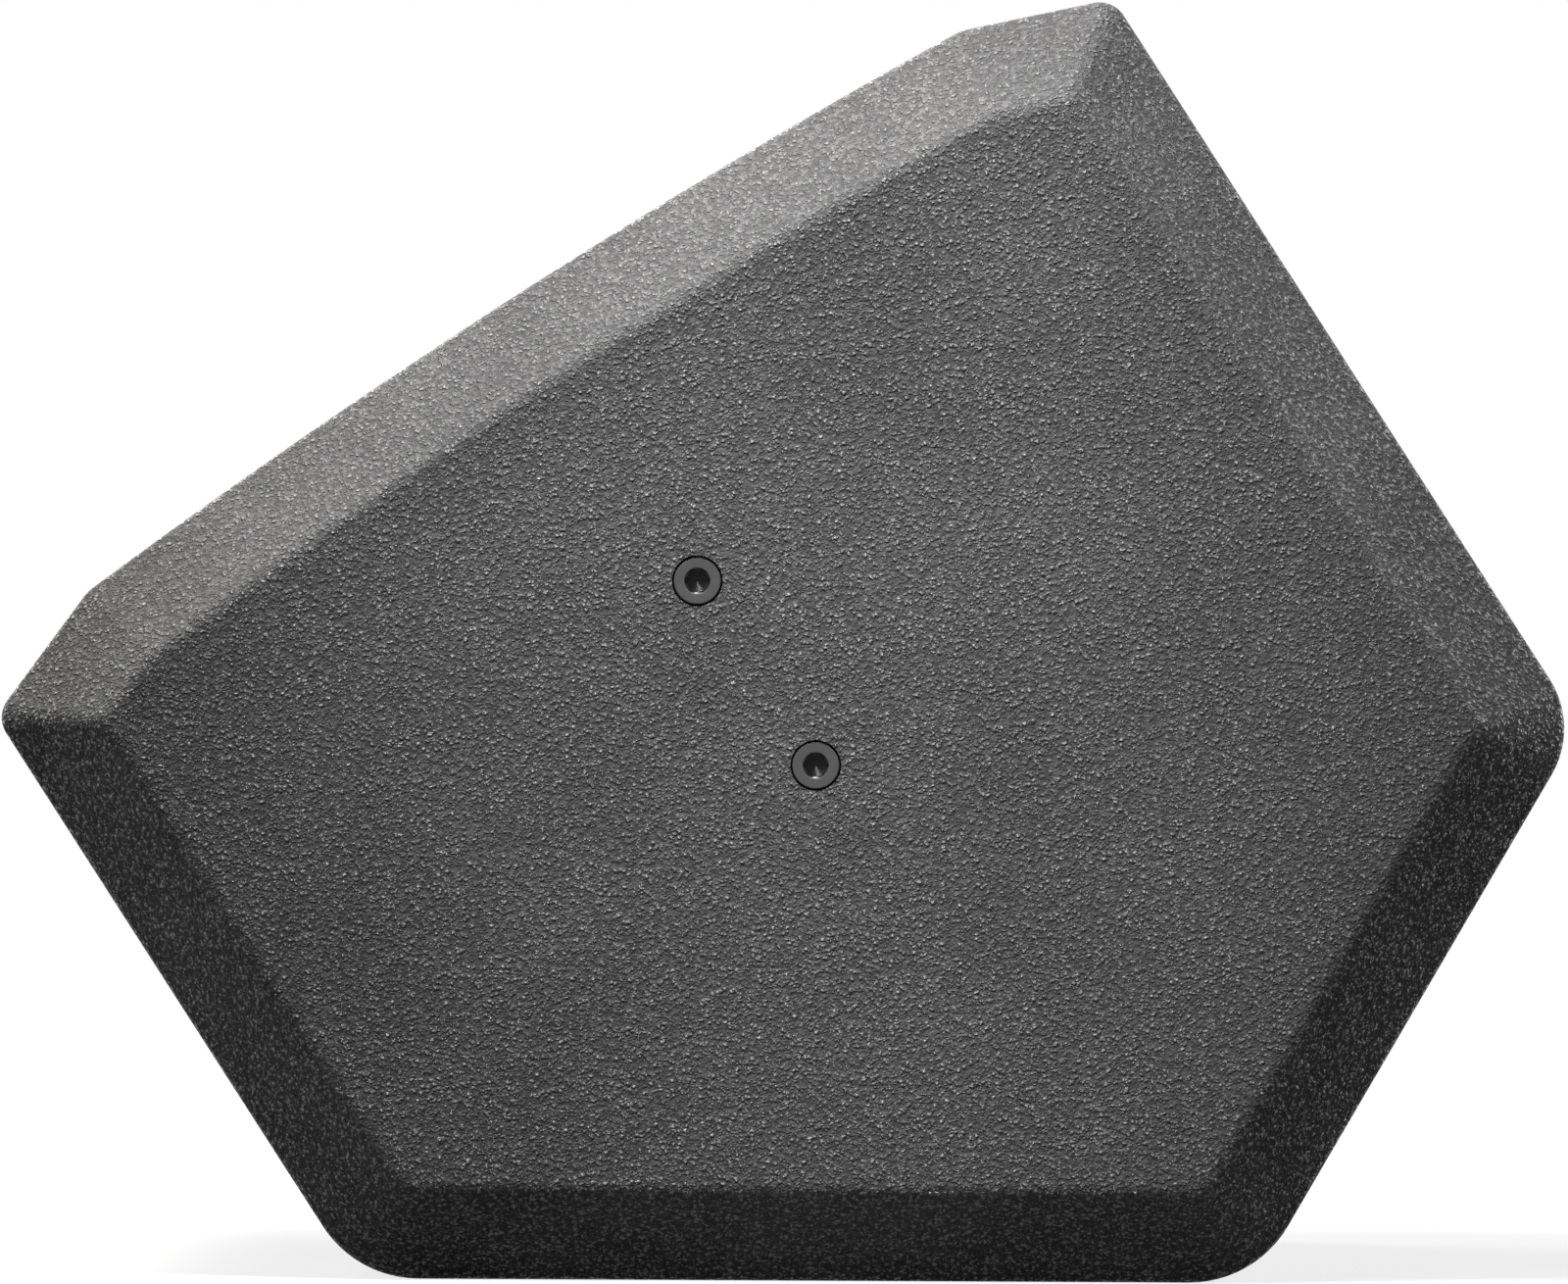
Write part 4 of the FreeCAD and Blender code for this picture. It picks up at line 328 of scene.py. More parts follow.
RIPPLE_SCALE, RIPPLE_SHARE, GRAIN_WIDTH = 1.7, 0.5, 0.55
grain, taken, given = group_with(
    "fine_grain",
    [("Scale", "NodeSocketFloat", 900.0), ("Lumps", "NodeSocketFloat", 0.6)],
    [("Height", "NodeSocketFloat"), ("Peaks", "NodeSocketFloat")],
)
place = add_node(grain, "ShaderNodeTexCoord").outputs["Object"]
ripple = noise(grain, place, maths(grain, "MULTIPLY", taken.outputs["Scale"], RIPPLE_SCALE))
domes = beads(grain, place, taken.outputs["Scale"], GRAIN_WIDTH)
lumps = maths(grain, "MULTIPLY", domes, taken.outputs["Lumps"])
height = maths(grain, "ADD", lumps, ranged(grain, ripple, 0.3, 0.7, 0.0, RIPPLE_SHARE))
grain.links.new(height, given.inputs["Height"])
grain.links.new(ranged(grain, height, 0.3, 0.8), given.inputs["Peaks"])
print("group", grain.name, "with", len(grain.nodes), "nodes")

# %% [markdown]
# No painted or moulded surface is of one even tone. A second group shifts a colour up and down in
# slow clouds with a little fine dust in them, and gives the same clouds as a value for the gloss.

# %% Node group: uneven tone
DUST_SCALE, DUST_SHARE = 40.0, 0.5
tone, taken, given = group_with(
    "uneven_tone",
    [("Color", "NodeSocketColor", (0.1, 0.1, 0.1, 1)), ("Shift", "NodeSocketFloat", 0.2),
     ("Scale", "NodeSocketFloat", 14.0)],
    [("Color", "NodeSocketColor"), ("Clouds", "NodeSocketFloat")],
)
place = add_node(tone, "ShaderNodeTexCoord").outputs["Object"]
slow = noise(tone, place, taken.outputs["Scale"], 3.0, 0.6)
dust = noise(tone, place, maths(tone, "MULTIPLY", taken.outputs["Scale"], DUST_SCALE))
clouds = maths(tone, "ADD", ranged(tone, slow, 0.25, 0.75, -1.0, 1.0),
               ranged(tone, dust, 0.3, 0.7, -DUST_SHARE, DUST_SHARE))
scaled = maths(tone, "ADD", maths(tone, "MULTIPLY", clouds, taken.outputs["Shift"]), 1.0)
tinted = add_node(tone, "ShaderNodeVectorMath", operation="SCALE")
tone.links.new(taken.outputs["Color"], tinted.inputs[0])
tone.links.new(scaled, tinted.inputs["Scale"])
tone.links.new(tinted.outputs[0], given.inputs["Color"])
tone.links.new(ranged(tone, clouds, -1.5, 1.5), given.inputs["Clouds"])
print("group", tone.name, "with", len(tone.nodes), "nodes")

# %% [markdown]
# One recipe makes every finish: the uneven tone feeds the colour, the clouds and the peaks feed the
# gloss, and the grain feeds a bump. The grain also scales the colour, darker in its hollows and lighter
# on its peaks: painted shade and painted highlight. What differs between paint, plastic and metal is only
# numbers.

# %% The recipe for a finish
CLOUD_SCALE = 14.0
# Share of the colour kept in the grain's hollows: painted shade there, and painted highlight on the peaks.
PAINTED_HOLLOW_SHADE = 0.85
PEAK_SHARE, CLOUD_SHARE = 0.7, 0.3


def use_group(tree, group, **values):
    """Places a node group in a material and sets its inputs."""
    made = add_node(tree, "ShaderNodeGroup", node_tree=group)
    for label, number in values.items():
        made.inputs[label].default_value = number
    return made


def finish(name, colour, rough, metal=0.0, shine=0.5, shift=0.15, grain_scale=900.0, lumps=0.4, relief=0.05):
    """A material: linear colour, roughness of peaks and of hollows, relief in mm."""
    material = bpy.data.materials.new(name)
    material.use_nodes = True
    tree = material.node_tree
    shader = tree.nodes["Principled BSDF"]
    shader.inputs["Metallic"].default_value = metal
    shader.inputs["Specular IOR Level"].default_value = shine
    tint = use_group(tree, tone, Color=(*colour, 1), Shift=shift, Scale=CLOUD_SCALE)
    bumps = use_group(tree, grain, Scale=grain_scale, Lumps=lumps)
    depth = add_node(tree, "ShaderNodeVectorMath", operation="SCALE")
    tree.links.new(tint.outputs["Color"], depth.inputs[0])
    # Painted shade and highlight: the colour darkens in the grain's hollows and lightens on its peaks.
    shade = ranged(tree, bumps.outputs["Height"], 0.0, 0.9, PAINTED_HOLLOW_SHADE, 2.0 - PAINTED_HOLLOW_SHADE)
    tree.links.new(shade, depth.inputs["Scale"])
    tree.links.new(depth.outputs[0], shader.inputs["Base Color"])
    worn = maths(tree, "MULTIPLY", tint.outputs["Clouds"], CLOUD_SHARE)
    gloss = maths(tree, "ADD", maths(tree, "MULTIPLY", bumps.outputs["Peaks"], PEAK_SHARE), worn)
    tree.links.new(ranged(tree, gloss, 0.0, 1.0, rough[1], rough[0]), shader.inputs["Roughness"])
    bump = add_node(tree, "ShaderNodeBump")
    bump.inputs["Distance"].default_value = relief * MM
    tree.links.new(bumps.outputs["Height"], bump.inputs["Height"])
    tree.links.new(bump.outputs["Normal"], shader.inputs["Normal"])
    return material


print("recipe with", tone.name, "and", grain.name)

# %% [markdown]
# Now the numbers for each finish on the real speaker: bare plywood inside, powder paint on pressed
# steel, dead black on the grille so that its holes hardly show, black oxide and zinc on the screws and
# plates. The darkest black oxide also lines the screws' sockets, darker than their heads: painted shade.
# They could be separate materials built by hand, but one recipe keeps them of a kind.

# %% The finishes
raw_board = finish("raw_plywood", (0.42, 0.27, 0.14), (0.6, 0.75), shift=0.2, grain_scale=300, relief=0.1)
powder = finish("powder_paint", (0.018, 0.018, 0.0185), (0.44, 0.56), shine=0.35, shift=0.15,
                grain_scale=1400, relief=0.06)
grille_black = finish("grille_black", (0.009, 0.009, 0.0095), (0.55, 0.65), shine=0.15, shift=0.15,
                      grain_scale=1400, relief=0.06)
foam = finish("open_foam", (0.012, 0.012, 0.013), (0.9, 1.0), shine=0.1, grain_scale=900, lumps=0.9,
              relief=0.5)
# This darker oxide also lines the screws' sockets and recesses, darker than their heads: painted shade.
black_oxide_and_socket_shade = finish("black_oxide_and_socket_shade", (0.008, 0.008, 0.0085), (0.2, 0.28), shine=0.12,
                     grain_scale=2500, relief=0.004)
oxide_head = finish("oxide_head", (0.036, 0.036, 0.037), (0.4, 0.5), shine=0.2, shift=0.1,
                    grain_scale=2200, relief=0.012)
zinc = finish("zinc_plate", (0.55, 0.55, 0.56), (0.25, 0.4), metal=1.0, shift=0.08, grain_scale=1500,
              relief=0.01)
cast_metal = finish("cast_black", (0.03, 0.03, 0.032), (0.45, 0.6), shift=0.2, grain_scale=1100,
                    relief=0.12)
cone_paper = finish("cone_paper", (0.03, 0.029, 0.028), (0.7, 0.85), shift=0.25, grain_scale=700,
                    relief=0.15)
ferrite = finish("ferrite", (0.06, 0.058, 0.056), (0.45, 0.6), shift=0.2, grain_scale=900, relief=0.1)
copper = finish("enamelled_copper", (0.5, 0.2, 0.08), (0.25, 0.4), metal=1.0, grain_scale=1600,
                relief=0.03)
moulded = finish("moulded_plastic", (0.018, 0.018, 0.019), (0.42, 0.55), shift=0.12, grain_scale=1500,
                 relief=0.05)
rubber = finish("grip_rubber", (0.014, 0.014, 0.014), (0.6, 0.75), shine=0.35, shift=0.2,
                grain_scale=1200, relief=0.06)
plated = finish("plated_contact", (0.62, 0.55, 0.38), (0.2, 0.3), metal=1.0, shift=0.06,
                grain_scale=1800, relief=0.006)
LENS_TINTS = [("lamp_green", (0.06, 0.4, 0.1)), ("lamp_amber", (0.6, 0.3, 0.04)),
              ("lamp_red", (0.5, 0.04, 0.04))]
lenses = [finish(name, tint, (0.12, 0.2), shift=0.05, grain_scale=1800, relief=0.004)
          for name, tint in LENS_TINTS]
circuit = finish("circuit_green", (0.02, 0.11, 0.05), (0.3, 0.42), shift=0.15, grain_scale=1000,
                 relief=0.03)
sleeve = finish("can_sleeve", (0.02, 0.024, 0.05), (0.25, 0.35), shift=0.1, grain_scale=1400,
                relief=0.02)
print(len(bpy.data.materials), "materials")

# %% [markdown]
# The cabinet's coat is thick sprayed paint that dries in glossy beads of one to two millimetres, with
# dull hollows between them. Real displacement would need millions of faces, so a bump does it: large
# and small beads, pushed about by noise so that some run together, under a gloss on the beads alone.
# The colour is darker in the hollows and lighter on the beads: painted shade and painted highlight.

# %% The sprayed coat
COAT_SCALE, COAT_RELIEF, COAT_GLOSS, COAT_INDEX = 640.0, 1.3, 0.3, 1.28
# Shares of the coat's colour: painted shade in the hollows, painted highlight on the beads.
COAT_HOLLOW_SHADE, COAT_BEAD_HIGHLIGHT = 0.45, 1.5
COAT_COLOUR, COAT_SHEEN = (0.088, 0.088, 0.089, 1), 0.04
COAT_CLOUDS, COAT_CLOUD_SCALE, COAT_ROUGH = 0.1, 16.0, (0.65, 0.45)
LARGE_SHARE, LARGE_WIDTH = 0.6, 0.5
SMALL_SHARE, SMALL_WIDTH, SMALL_SCALE = 0.45, 0.55, 1.9
DRIFT, SWELL = 0.7, 0.2
BEAD_FOOT, BEAD_BROW = 0.15, 0.4


def wandering(tree, where, scale, reach):
    """The same place pushed about by noise, and the noise itself."""
    drift = add_node(tree, "ShaderNodeTexNoise")
    drift.inputs["Detail"].default_value = 1.0
    drift.inputs["Scale"].default_value = scale
    tree.links.new(where, drift.inputs["Vector"])
    centred = add_node(tree, "ShaderNodeVectorMath", operation="SUBTRACT")
    centred.inputs[1].default_value = (0.5, 0.5, 0.5)
    tree.links.new(drift.outputs["Color"], centred.inputs[0])
    pushed = add_node(tree, "ShaderNodeVectorMath", operation="MULTIPLY_ADD")
    pushed.inputs[1].default_value = (reach, reach, reach)
    tree.links.new(centred.outputs[0], pushed.inputs[0])
    tree.links.new(where, pushed.inputs[2])
    return pushed.outputs[0], drift.outputs["Fac"]


coat = bpy.data.materials.new("sprayed_coat")
coat.use_nodes = True
tree = coat.node_tree
shader = tree.nodes["Principled BSDF"]
shader.inputs["Specular IOR Level"].default_value = COAT_SHEEN
shader.inputs["Coat Roughness"].default_value = COAT_GLOSS
shader.inputs["Coat IOR"].default_value = COAT_INDEX
place = add_node(tree, "ShaderNodeTexCoord").outputs["Object"]
place, ripple = wandering(tree, place, COAT_SCALE, DRIFT / COAT_SCALE)
large = maths(tree, "MULTIPLY", beads(tree, place, COAT_SCALE, LARGE_WIDTH), LARGE_SHARE)
small = maths(tree, "MULTIPLY", beads(tree, place, SMALL_SCALE * COAT_SCALE, SMALL_WIDTH), SMALL_SHARE)
swell = ranged(tree, ripple, 0.3, 0.7, 0.0, SWELL)
height = maths(tree, "ADD", maths(tree, "ADD", large, small), swell)
tint = use_group(tree, tone, Color=COAT_COLOUR, Shift=COAT_CLOUDS, Scale=COAT_CLOUD_SCALE)
# Painted shade and highlight: the coat's colour is darker in the hollows and lighter on the beads.
shaded = add_node(tree, "ShaderNodeVectorMath", operation="SCALE")
tree.links.new(tint.outputs["Color"], shaded.inputs[0])
tree.links.new(ranged(tree, height, 0.0, 0.9, COAT_HOLLOW_SHADE, COAT_BEAD_HIGHLIGHT), shaded.inputs["Scale"])
tree.links.new(shaded.outputs[0], shader.inputs["Base Color"])
tree.links.new(ranged(tree, tint.outputs["Clouds"], 0.0, 1.0, *COAT_ROUGH), shader.inputs["Roughness"])
tree.links.new(ranged(tree, height, BEAD_FOOT, BEAD_BROW), shader.inputs["Coat Weight"])
bump = add_node(tree, "ShaderNodeBump")
bump.inputs["Distance"].default_value = COAT_RELIEF * MM
tree.links.new(height, bump.inputs["Height"])
tree.links.new(bump.outputs["Normal"], shader.inputs["Normal"])
tree.links.new(bump.outputs["Normal"], shader.inputs["Coat Normal"])
print(coat.name, "with", len(tree.nodes), "nodes")

# %% [markdown]
# Every solid that stays in view gets the finish of the real piece: painted boards, pressed steel,
# moulded cups, plated pins. A table of finish to pieces keeps this short.

# %% Finishes of the solids that stay
WEARS = [
    (coat, "base_panel rear_panel top_panel nose_panel left_cheek right_cheek"),
    (raw_board, "front_baffle grille_rail_nose grille_rail_crown"),
    (grille_black, "grille"),
    (powder, "amp_pan amp_cover heat_sink"),
    (foam, "grille_foam"),
    (black_oxide_and_socket_shade, "grille_screws rigging_screws panel_screws driver_screws"),
    (zinc, "driver_tee_nuts left_rigging_plate right_rigging_plate handle_rod board_standoffs top_plate"),
    (zinc, "back_plate level_shaft level_pot"),
    (cast_metal, "driver_basket compression_driver xlr_input xlr_link"),
    (cone_paper, "cone surround spider coil_former"),
    (ferrite, "magnet"),
    (copper, "voice_coil transformer"),
    (moulded, "pole_socket handle_cup mains_inlet switch_frame power_rocker xlr_latch level_knob"),
    (moulded, "preset_button preset_switch horn input_insert port_tube_1 port_tube_2 port_tube_3"),
    (moulded, "port_tube_4"),
    (rubber, "handle_grip"),
    (plated, "mains_pins xlr_link_pins"),
    (lenses[0], "status_lights"),
    (circuit, "amp_board"),
    (sleeve, "capacitors"),
]


def wear(piece, material):
    """Gives a piece one finish all over."""
    piece.data.materials.clear()
    piece.data.materials.append(material)


dressed = set()
for material, names in WEARS:
    for name in names.split():
        wear(nodes[name], material)
        dressed.add(name)
print("not dressed:", sorted(set(nodes) - dressed))

# %% [markdown]
# The cheeks are what the photograph shows: thick plywood with a wide bevel, sprayed so that every
# edge is soft. A bevel modifier on the solid would leave hard mitres at the corners, so the cheek is
# lofted: rings of one outline, each a little further in and further out, with corners whose radius
# shrinks as the ring does. The hollow and the screw holes are cut afterwards.

# %% Rings of the cheek
BASE_RADIUS, TAIL_RADIUS, LIP_RADIUS, BROW_RADIUS = 31.5, 25.0, 8.0, 12.0
TIGHTEST = 4.0
brow_reach = FRONT_SPAN / 2 - FACET_LENGTH * math.cos(math.radians(FACET_TURN))
brow_rise = FACET_LENGTH * math.sin(math.radians(FACET_TURN))
bow_radius = (brow_reach ** 2 + FRONT_BOW ** 2) / (2 * FRONT_BOW)
bow_turn = math.degrees(math.asin(brow_reach / bow_radius))


def on_front(along, out):
    """A point of the side view from places along and out of the front."""
    return (nose + crown) / 2 + along * heading(FRONT_TILT) + out * left_of(FRONT_TILT)


down_front = FRONT_TILT + 180
bow_peak = brow_rise + brow_reach * math.tan(math.radians(bow_turn))
# corner, heading before it, heading after it, radius, steps round it
OUTLINE = [
    (toe, NOSE_SLOPE + 180, 360, BASE_RADIUS, 12),
    (heel, 0, REAR_SLOPE, BASE_RADIUS, 12),
    (tail, REAR_SLOPE, NOSE_SLOPE, TAIL_RADIUS, 12),
    (crown, NOSE_SLOPE, down_front - FACET_TURN, LIP_RADIUS, 10),
    (on_front(brow_reach, brow_rise), down_front - FACET_TURN, down_front - bow_turn, BROW_RADIUS, 4),
    (on_front(0, bow_peak), down_front - bow_turn, down_front + bow_turn, bow_radius, 24),
    (on_front(-brow_reach, brow_rise), down_front + bow_turn, down_front + FACET_TURN, BROW_RADIUS, 4),
    (nose, down_front + FACET_TURN, NOSE_SLOPE + 180, LIP_RADIUS, 10),
]


def moved_in(corner, before, after, inset):
    """Where two edges meet once both have moved inward."""
    inward = left_of(before) + left_of(after)
    return corner + inset * 2 / inward.length_squared * inward


def cheek_ring(inset):
    """Points of the outline, moved in, with its corners rounded."""
    points = []
    for corner, before, after, radius, steps in OUTLINE:
        bend = max(radius - inset, TIGHTEST)
        centre = moved_in(corner, before, after, inset + bend)
        ends = 1 if radius == bow_radius else 0
        for step in range(ends, steps + 1 - ends):
            points.append(centre - bend * left_of(before + (after - before) * step / steps))
    return points


print(len(cheek_ring(0)), "points in a ring")

# %% [markdown]
# Seen in section, the edge runs up a short rim, round a soft arris, along the bevel, and round a
# second arris on to the face.

# %% Section of the edge
CABINET_HALF = 230.0
BEVEL = 25.0
INNER_HALF = 196.0
RIM_ROUND, FACE_ROUND = 4.0, 6.0
ROUND_STEPS = 6


def edge_section():
    """Pairs of inset and distance from the middle of the cabinet."""
    half_turn = math.tan(math.radians(22.5))
    section = [(0, INNER_HALF)]
    for step in range(ROUND_STEPS + 1):
        turn = math.radians(45 * step / ROUND_STEPS)
        base = CABINET_HALF - BEVEL - RIM_ROUND * half_turn
        section.append((RIM_ROUND * (1 - math.cos(turn)), base + RIM_ROUND * math.sin(turn)))
    for step in range(ROUND_STEPS + 1):
        turn = math.radians(45 * (1 - step / ROUND_STEPS))
        edge = BEVEL + FACE_ROUND * half_turn
        section.append((edge - FACE_ROUND * math.sin(turn), CABINET_HALF - FACE_ROUND * (1 - math.cos(turn))))
    return section


def new_piece(name, form, material, body="cabinet", stands_for=()):
    """Makes an object from a bmesh, dresses it and puts it on its body."""
    mesh = bpy.data.meshes.new(name)
    bmesh.ops.recalc_face_normals(form, faces=form.faces)
    form.to_mesh(mesh)
    form.free()
    made = bpy.data.objects.new(name, mesh)
    scene.collection.objects.link(made)
    if body:
        mesh.materials.append(material)
        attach(made, body)
    if stands_for:
        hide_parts(*stands_for)
    return made


def loft(form, rings):
    """Skins rings of equal count and closes both ends."""
    rows = [[form.verts.new(point) for point in ring] for ring in rings]
    count = len(rows[0])
    for low, high in zip(rows, rows[1:]):
        for at in range(count):
            after = (at + 1) % count
            form.faces.new((low[at], low[after], high[after], high[at]))
    form.faces.new(rows[0])
    form.faces.new(rows[-1])


def across(points, distance):
    """Side-view points at a distance from the cabinet's middle, in metres."""
    return [(p.x * MM, distance * MM, p.y * MM) for p in points]


def smooth_edges(piece, angle=35):
    """Shades smoothly up to an angle, with normals that follow the large faces."""
    piece.data.shade_smooth()
    piece.data.set_sharp_from_angle(angle=math.radians(angle))
    weights = piece.modifiers.new("even_normals", "WEIGHTED_NORMAL")
    weights.keep_sharp = True
    weights.weight = 80


print(len(edge_section()), "rings from rim to face")

# %% [markdown]
# Behind its face the cheek is hollowed out to the thickness of the boards, and two stepped holes take
# the rigging screws. Rings could be woven round the holes by hand, but exact booleans on one simple
# solid are quick, and the result is kept as the mesh.

# %% Cut the hollow and the screw holes
BOARD = 15.0
CAVITY_DEPTH = 36.0
HOLLOW_DEPTH = CABINET_HALF - INNER_HALF - BOARD
RIG_DEPTHS = (73.0, 133.0)
RIG_POINTS = [on_front(0, -depth) for depth in RIG_DEPTHS]
RIG_HEAD_HOLE, RIG_HEAD_DEPTH, RIG_HOLE = 6.95, 8.45, 4.3
CUT_OVER = 2.0


def inset_corners(points, inset):
    """A polygon whose edges have all moved inward."""
    moved = []
    for at, corner in enumerate(points):
        before, after = corner - points[at - 1], points[(at + 1) % len(points)] - corner
        turns = [math.degrees(math.atan2(d.y, d.x)) for d in (before, after)]
        moved.append(moved_in(corner, *turns, inset))
    return moved


def round_points(centre, radius, steps=48):
    """A circle in the side view."""
    return [centre + radius * heading(360 * step / steps) for step in range(steps)]


def carve(piece, cutters):
    """Takes cutters away from a piece and keeps the result as its mesh."""
    for cutter in cutters:
        cut = piece.modifiers.new("cut", "BOOLEAN")
        cut.object = cutter
        cut.solver = "EXACT"
    carved = bpy.data.meshes.new_from_object(piece.evaluated_get(bpy.context.evaluated_depsgraph_get()))
    piece.modifiers.clear()
    piece.data = carved
    for cutter in cutters:
        bpy.data.objects.remove(cutter)


def cheek(name, side, node):
    """One cheek: lofted edge and face, hollow behind, two stepped screw holes."""
    form = bmesh.new()
    loft(form, [across(cheek_ring(inset), side * reach) for inset, reach in edge_section()])
    made = new_piece(name, form, coat, stands_for=[node])
    back = inset_corners([toe, heel, tail, crown, nose], BOARD)
    baffle_reach = FRONT_SPAN / 2 - BOARD
    back[3:] = [on_front(baffle_reach, -CAVITY_DEPTH), on_front(-baffle_reach, -CAVITY_DEPTH)]
    hollow = bmesh.new()
    loft(hollow, [across(inset_corners(back, -CUT_OVER), side * (INNER_HALF - CUT_OVER)),
                  across(inset_corners(back, HOLLOW_DEPTH), side * (INNER_HALF + HOLLOW_DEPTH))])
    cutters = [new_piece("hollow", hollow, None, None)]
    for point in RIG_POINTS:
        for radius, reach in ((RIG_HEAD_HOLE, CABINET_HALF - RIG_HEAD_DEPTH), (RIG_HOLE, INNER_HALF)):
            hole = bmesh.new()
            loft(hole, [across(round_points(point, radius), side * depth)
                        for depth in (reach, CABINET_HALF + CUT_OVER)])
            cutters.append(new_piece("hole", hole, None, None))
    carve(made, cutters)
    smooth_edges(made)
    return made


for name, side, node in (("left_coat", -1, "left_cheek"), ("right_coat", 1, "right_cheek")):
    made = cheek(name, side, node)
    print(name, len(made.data.polygons), "faces")

# %% [markdown]
# The rigging points are M8 cap screws with a hexagon socket that ends in a drilled cone, and the cone
# is what glints in the photograph. A lathe does it: rings of height and radius about an axis, where
# the radius may change with the angle, so that a round head runs into a hexagon without a cut.

# %% Lathe and cap screws
def lathe(form, axis, rings, steps=48, loop=False, mouth=None):
    """Skins rings of (height, radius) about the z axis of a frame; a radius may depend on the angle.

    Faces from the ring numbered mouth onwards take the piece's second finish, darker than the head: painted
    shade in the socket.
    """
    rows = []
    for height, radius in rings:
        row = []
        for step in range(steps):
            angle = 360 * step / steps
            reach = radius(angle) if callable(radius) else radius
            row.append(form.verts.new(axis @ Vector((*(reach * heading(angle)), height))))
        rows.append(row)
    follow = rows[1:] + rows[:1] if loop else rows[1:]
    for number, (low, high) in enumerate(zip(rows, follow)):
        for at in range(steps):
            after = (at + 1) % steps
            made = form.faces.new((low[at], low[after], high[after], high[at]))
            made.material_index = int(mouth is not None and number >= mouth)
    if not loop:
        form.faces.new(rows[0])
        form.faces.new(rows[-1]).material_index = int(mouth is not None)


def hexagon(flats):
    """Radius of a hexagon, given across its flats, at an angle."""
    return lambda angle: flats / 2 / math.cos(math.radians(angle % 60 - 30))


def rounded(radius, top, soft, steps=4):
    """Rings round the upper edge of a turned head."""
    turns = [math.radians(90 * step / steps) for step in range(steps + 1)]
    return [(top - soft * (1 - math.sin(t)), radius - soft * (1 - math.cos(t))) for t in turns]


def cheek_axis(point, side):
    """Frame of a screw in a cheek, in millimetres, with z out of the cheek."""
    turn = Matrix(((-side, 0, 0), (0, 0, side), (0, 1, 0))).to_4x4()
    where = Vector((point.x, side * (CABINET_HALF - RIG_SUNK), point.y)) * MM
    return Matrix.Translation(where) @ turn @ Matrix.Scale(MM, 4)


RIG_SUNK = 0.45
RIG_HEAD, RIG_HEAD_HEIGHT, RIG_SHANK, RIG_SHANK_END = 6.5, 8.0, 4.0, -38.0
RIG_KEY, RIG_KEY_MOUTH, RIG_KEY_DEPTH, RIG_KEY_POINT = 6.0, 3.55, 3.6, 4.4
RIG_SOFT, KEY_LIP, KEY_LIP_DEPTH, KEY_START = 0.45, 0.3, 0.08, 0.5
CAP_HEAD = [
    (RIG_SHANK_END, RIG_SHANK), (-RIG_HEAD_HEIGHT, RIG_SHANK), (-RIG_HEAD_HEIGHT, RIG_HEAD),
    *rounded(RIG_HEAD, 0, RIG_SOFT), (0, RIG_KEY_MOUTH + KEY_LIP),
]
CAP_SOCKET = [
    (-KEY_LIP_DEPTH, RIG_KEY_MOUTH), (-KEY_START, hexagon(RIG_KEY)), (-RIG_KEY_DEPTH, hexagon(RIG_KEY)),
    (-RIG_KEY_DEPTH - 0.05, RIG_KEY / 2 - 0.1), (-RIG_KEY_POINT, 0.05),
]
form = bmesh.new()
for side in (-1, 1):
    for point in RIG_POINTS:
        lathe(form, cheek_axis(point, side), CAP_HEAD + CAP_SOCKET, mouth=len(CAP_HEAD))
made = new_piece("rigging_cap_screws", form, oxide_head, stands_for=["rigging_screws"])
# The socket takes the darker oxide: painted shade inside it.
made.data.materials.append(black_oxide_and_socket_shade)
smooth_edges(made)
print(made.name, len(made.data.polygons), "faces")

# %% [markdown]
# The panel screws are flat countersunk heads and the grille screws are low round ones, all with a
# six-lobed recess, as on most cabinets of this kind. They share one lathe profile with other numbers.

# %% Panel screws and grille screws
def six_lobes(radius, swing):
    """Radius of a six-lobed recess at an angle."""
    return lambda angle: radius + swing * math.cos(math.radians(6 * angle))


PANEL_TOP, PANEL_HEAD, PANEL_HEAD_HEIGHT, PANEL_SHANK, PANEL_LENGTH = -0.3, 3.8, 1.9, 2.0, 11.0
LOBES = six_lobes(1.5, 0.32)
LOBE_DEPTH = 1.1
panel_foot = PANEL_TOP - PANEL_HEAD_HEIGHT
PANEL_HEAD_RINGS = [
    (panel_foot - PANEL_LENGTH, PANEL_SHANK), (panel_foot, PANEL_SHANK),
    (PANEL_TOP - 0.25, PANEL_HEAD - 0.05), (PANEL_TOP - 0.08, PANEL_HEAD), (PANEL_TOP, PANEL_HEAD - 0.2),
]
PANEL_RECESS = [(PANEL_TOP, LOBES), (PANEL_TOP - LOBE_DEPTH, LOBES)]
HANDLE_MIDDLE, POLE_MIDDLE = 13.2, -10.25
POLE_SCREW_REACH = 37.0
POLE_SCREW_TURNS = (45, 135, 225, 315)
HANDLE_SCREW_X, HANDLE_SCREW_Y = 43.5, 63
AMP_SCREW_X, AMP_SCREW_Y, AMP_SCREW_SHARES = 59.08, 168.0, (-1, -0.33, 0.33, 1)
places = []
for turn in POLE_SCREW_TURNS:
    spot = POLE_SCREW_REACH * heading(turn)
    places.append((nose_board, POLE_MIDDLE + spot.x, spot.y))
for x in (-HANDLE_SCREW_X, HANDLE_SCREW_X):
    places += [(top_board, HANDLE_MIDDLE + x, y) for y in (-HANDLE_SCREW_Y, HANDLE_SCREW_Y)]
for x in (-AMP_SCREW_X, AMP_SCREW_X):
    places += [(rear_board, x, share * AMP_SCREW_Y) for share in AMP_SCREW_SHARES]
form = bmesh.new()
for board, x, y in places:
    at = board @ Matrix.Translation((x, y, 0))
    lathe(form, at, PANEL_HEAD_RINGS + PANEL_RECESS, mouth=len(PANEL_HEAD_RINGS))
made = new_piece("panel_flat_screws", form, oxide_head, stands_for=["panel_screws"])
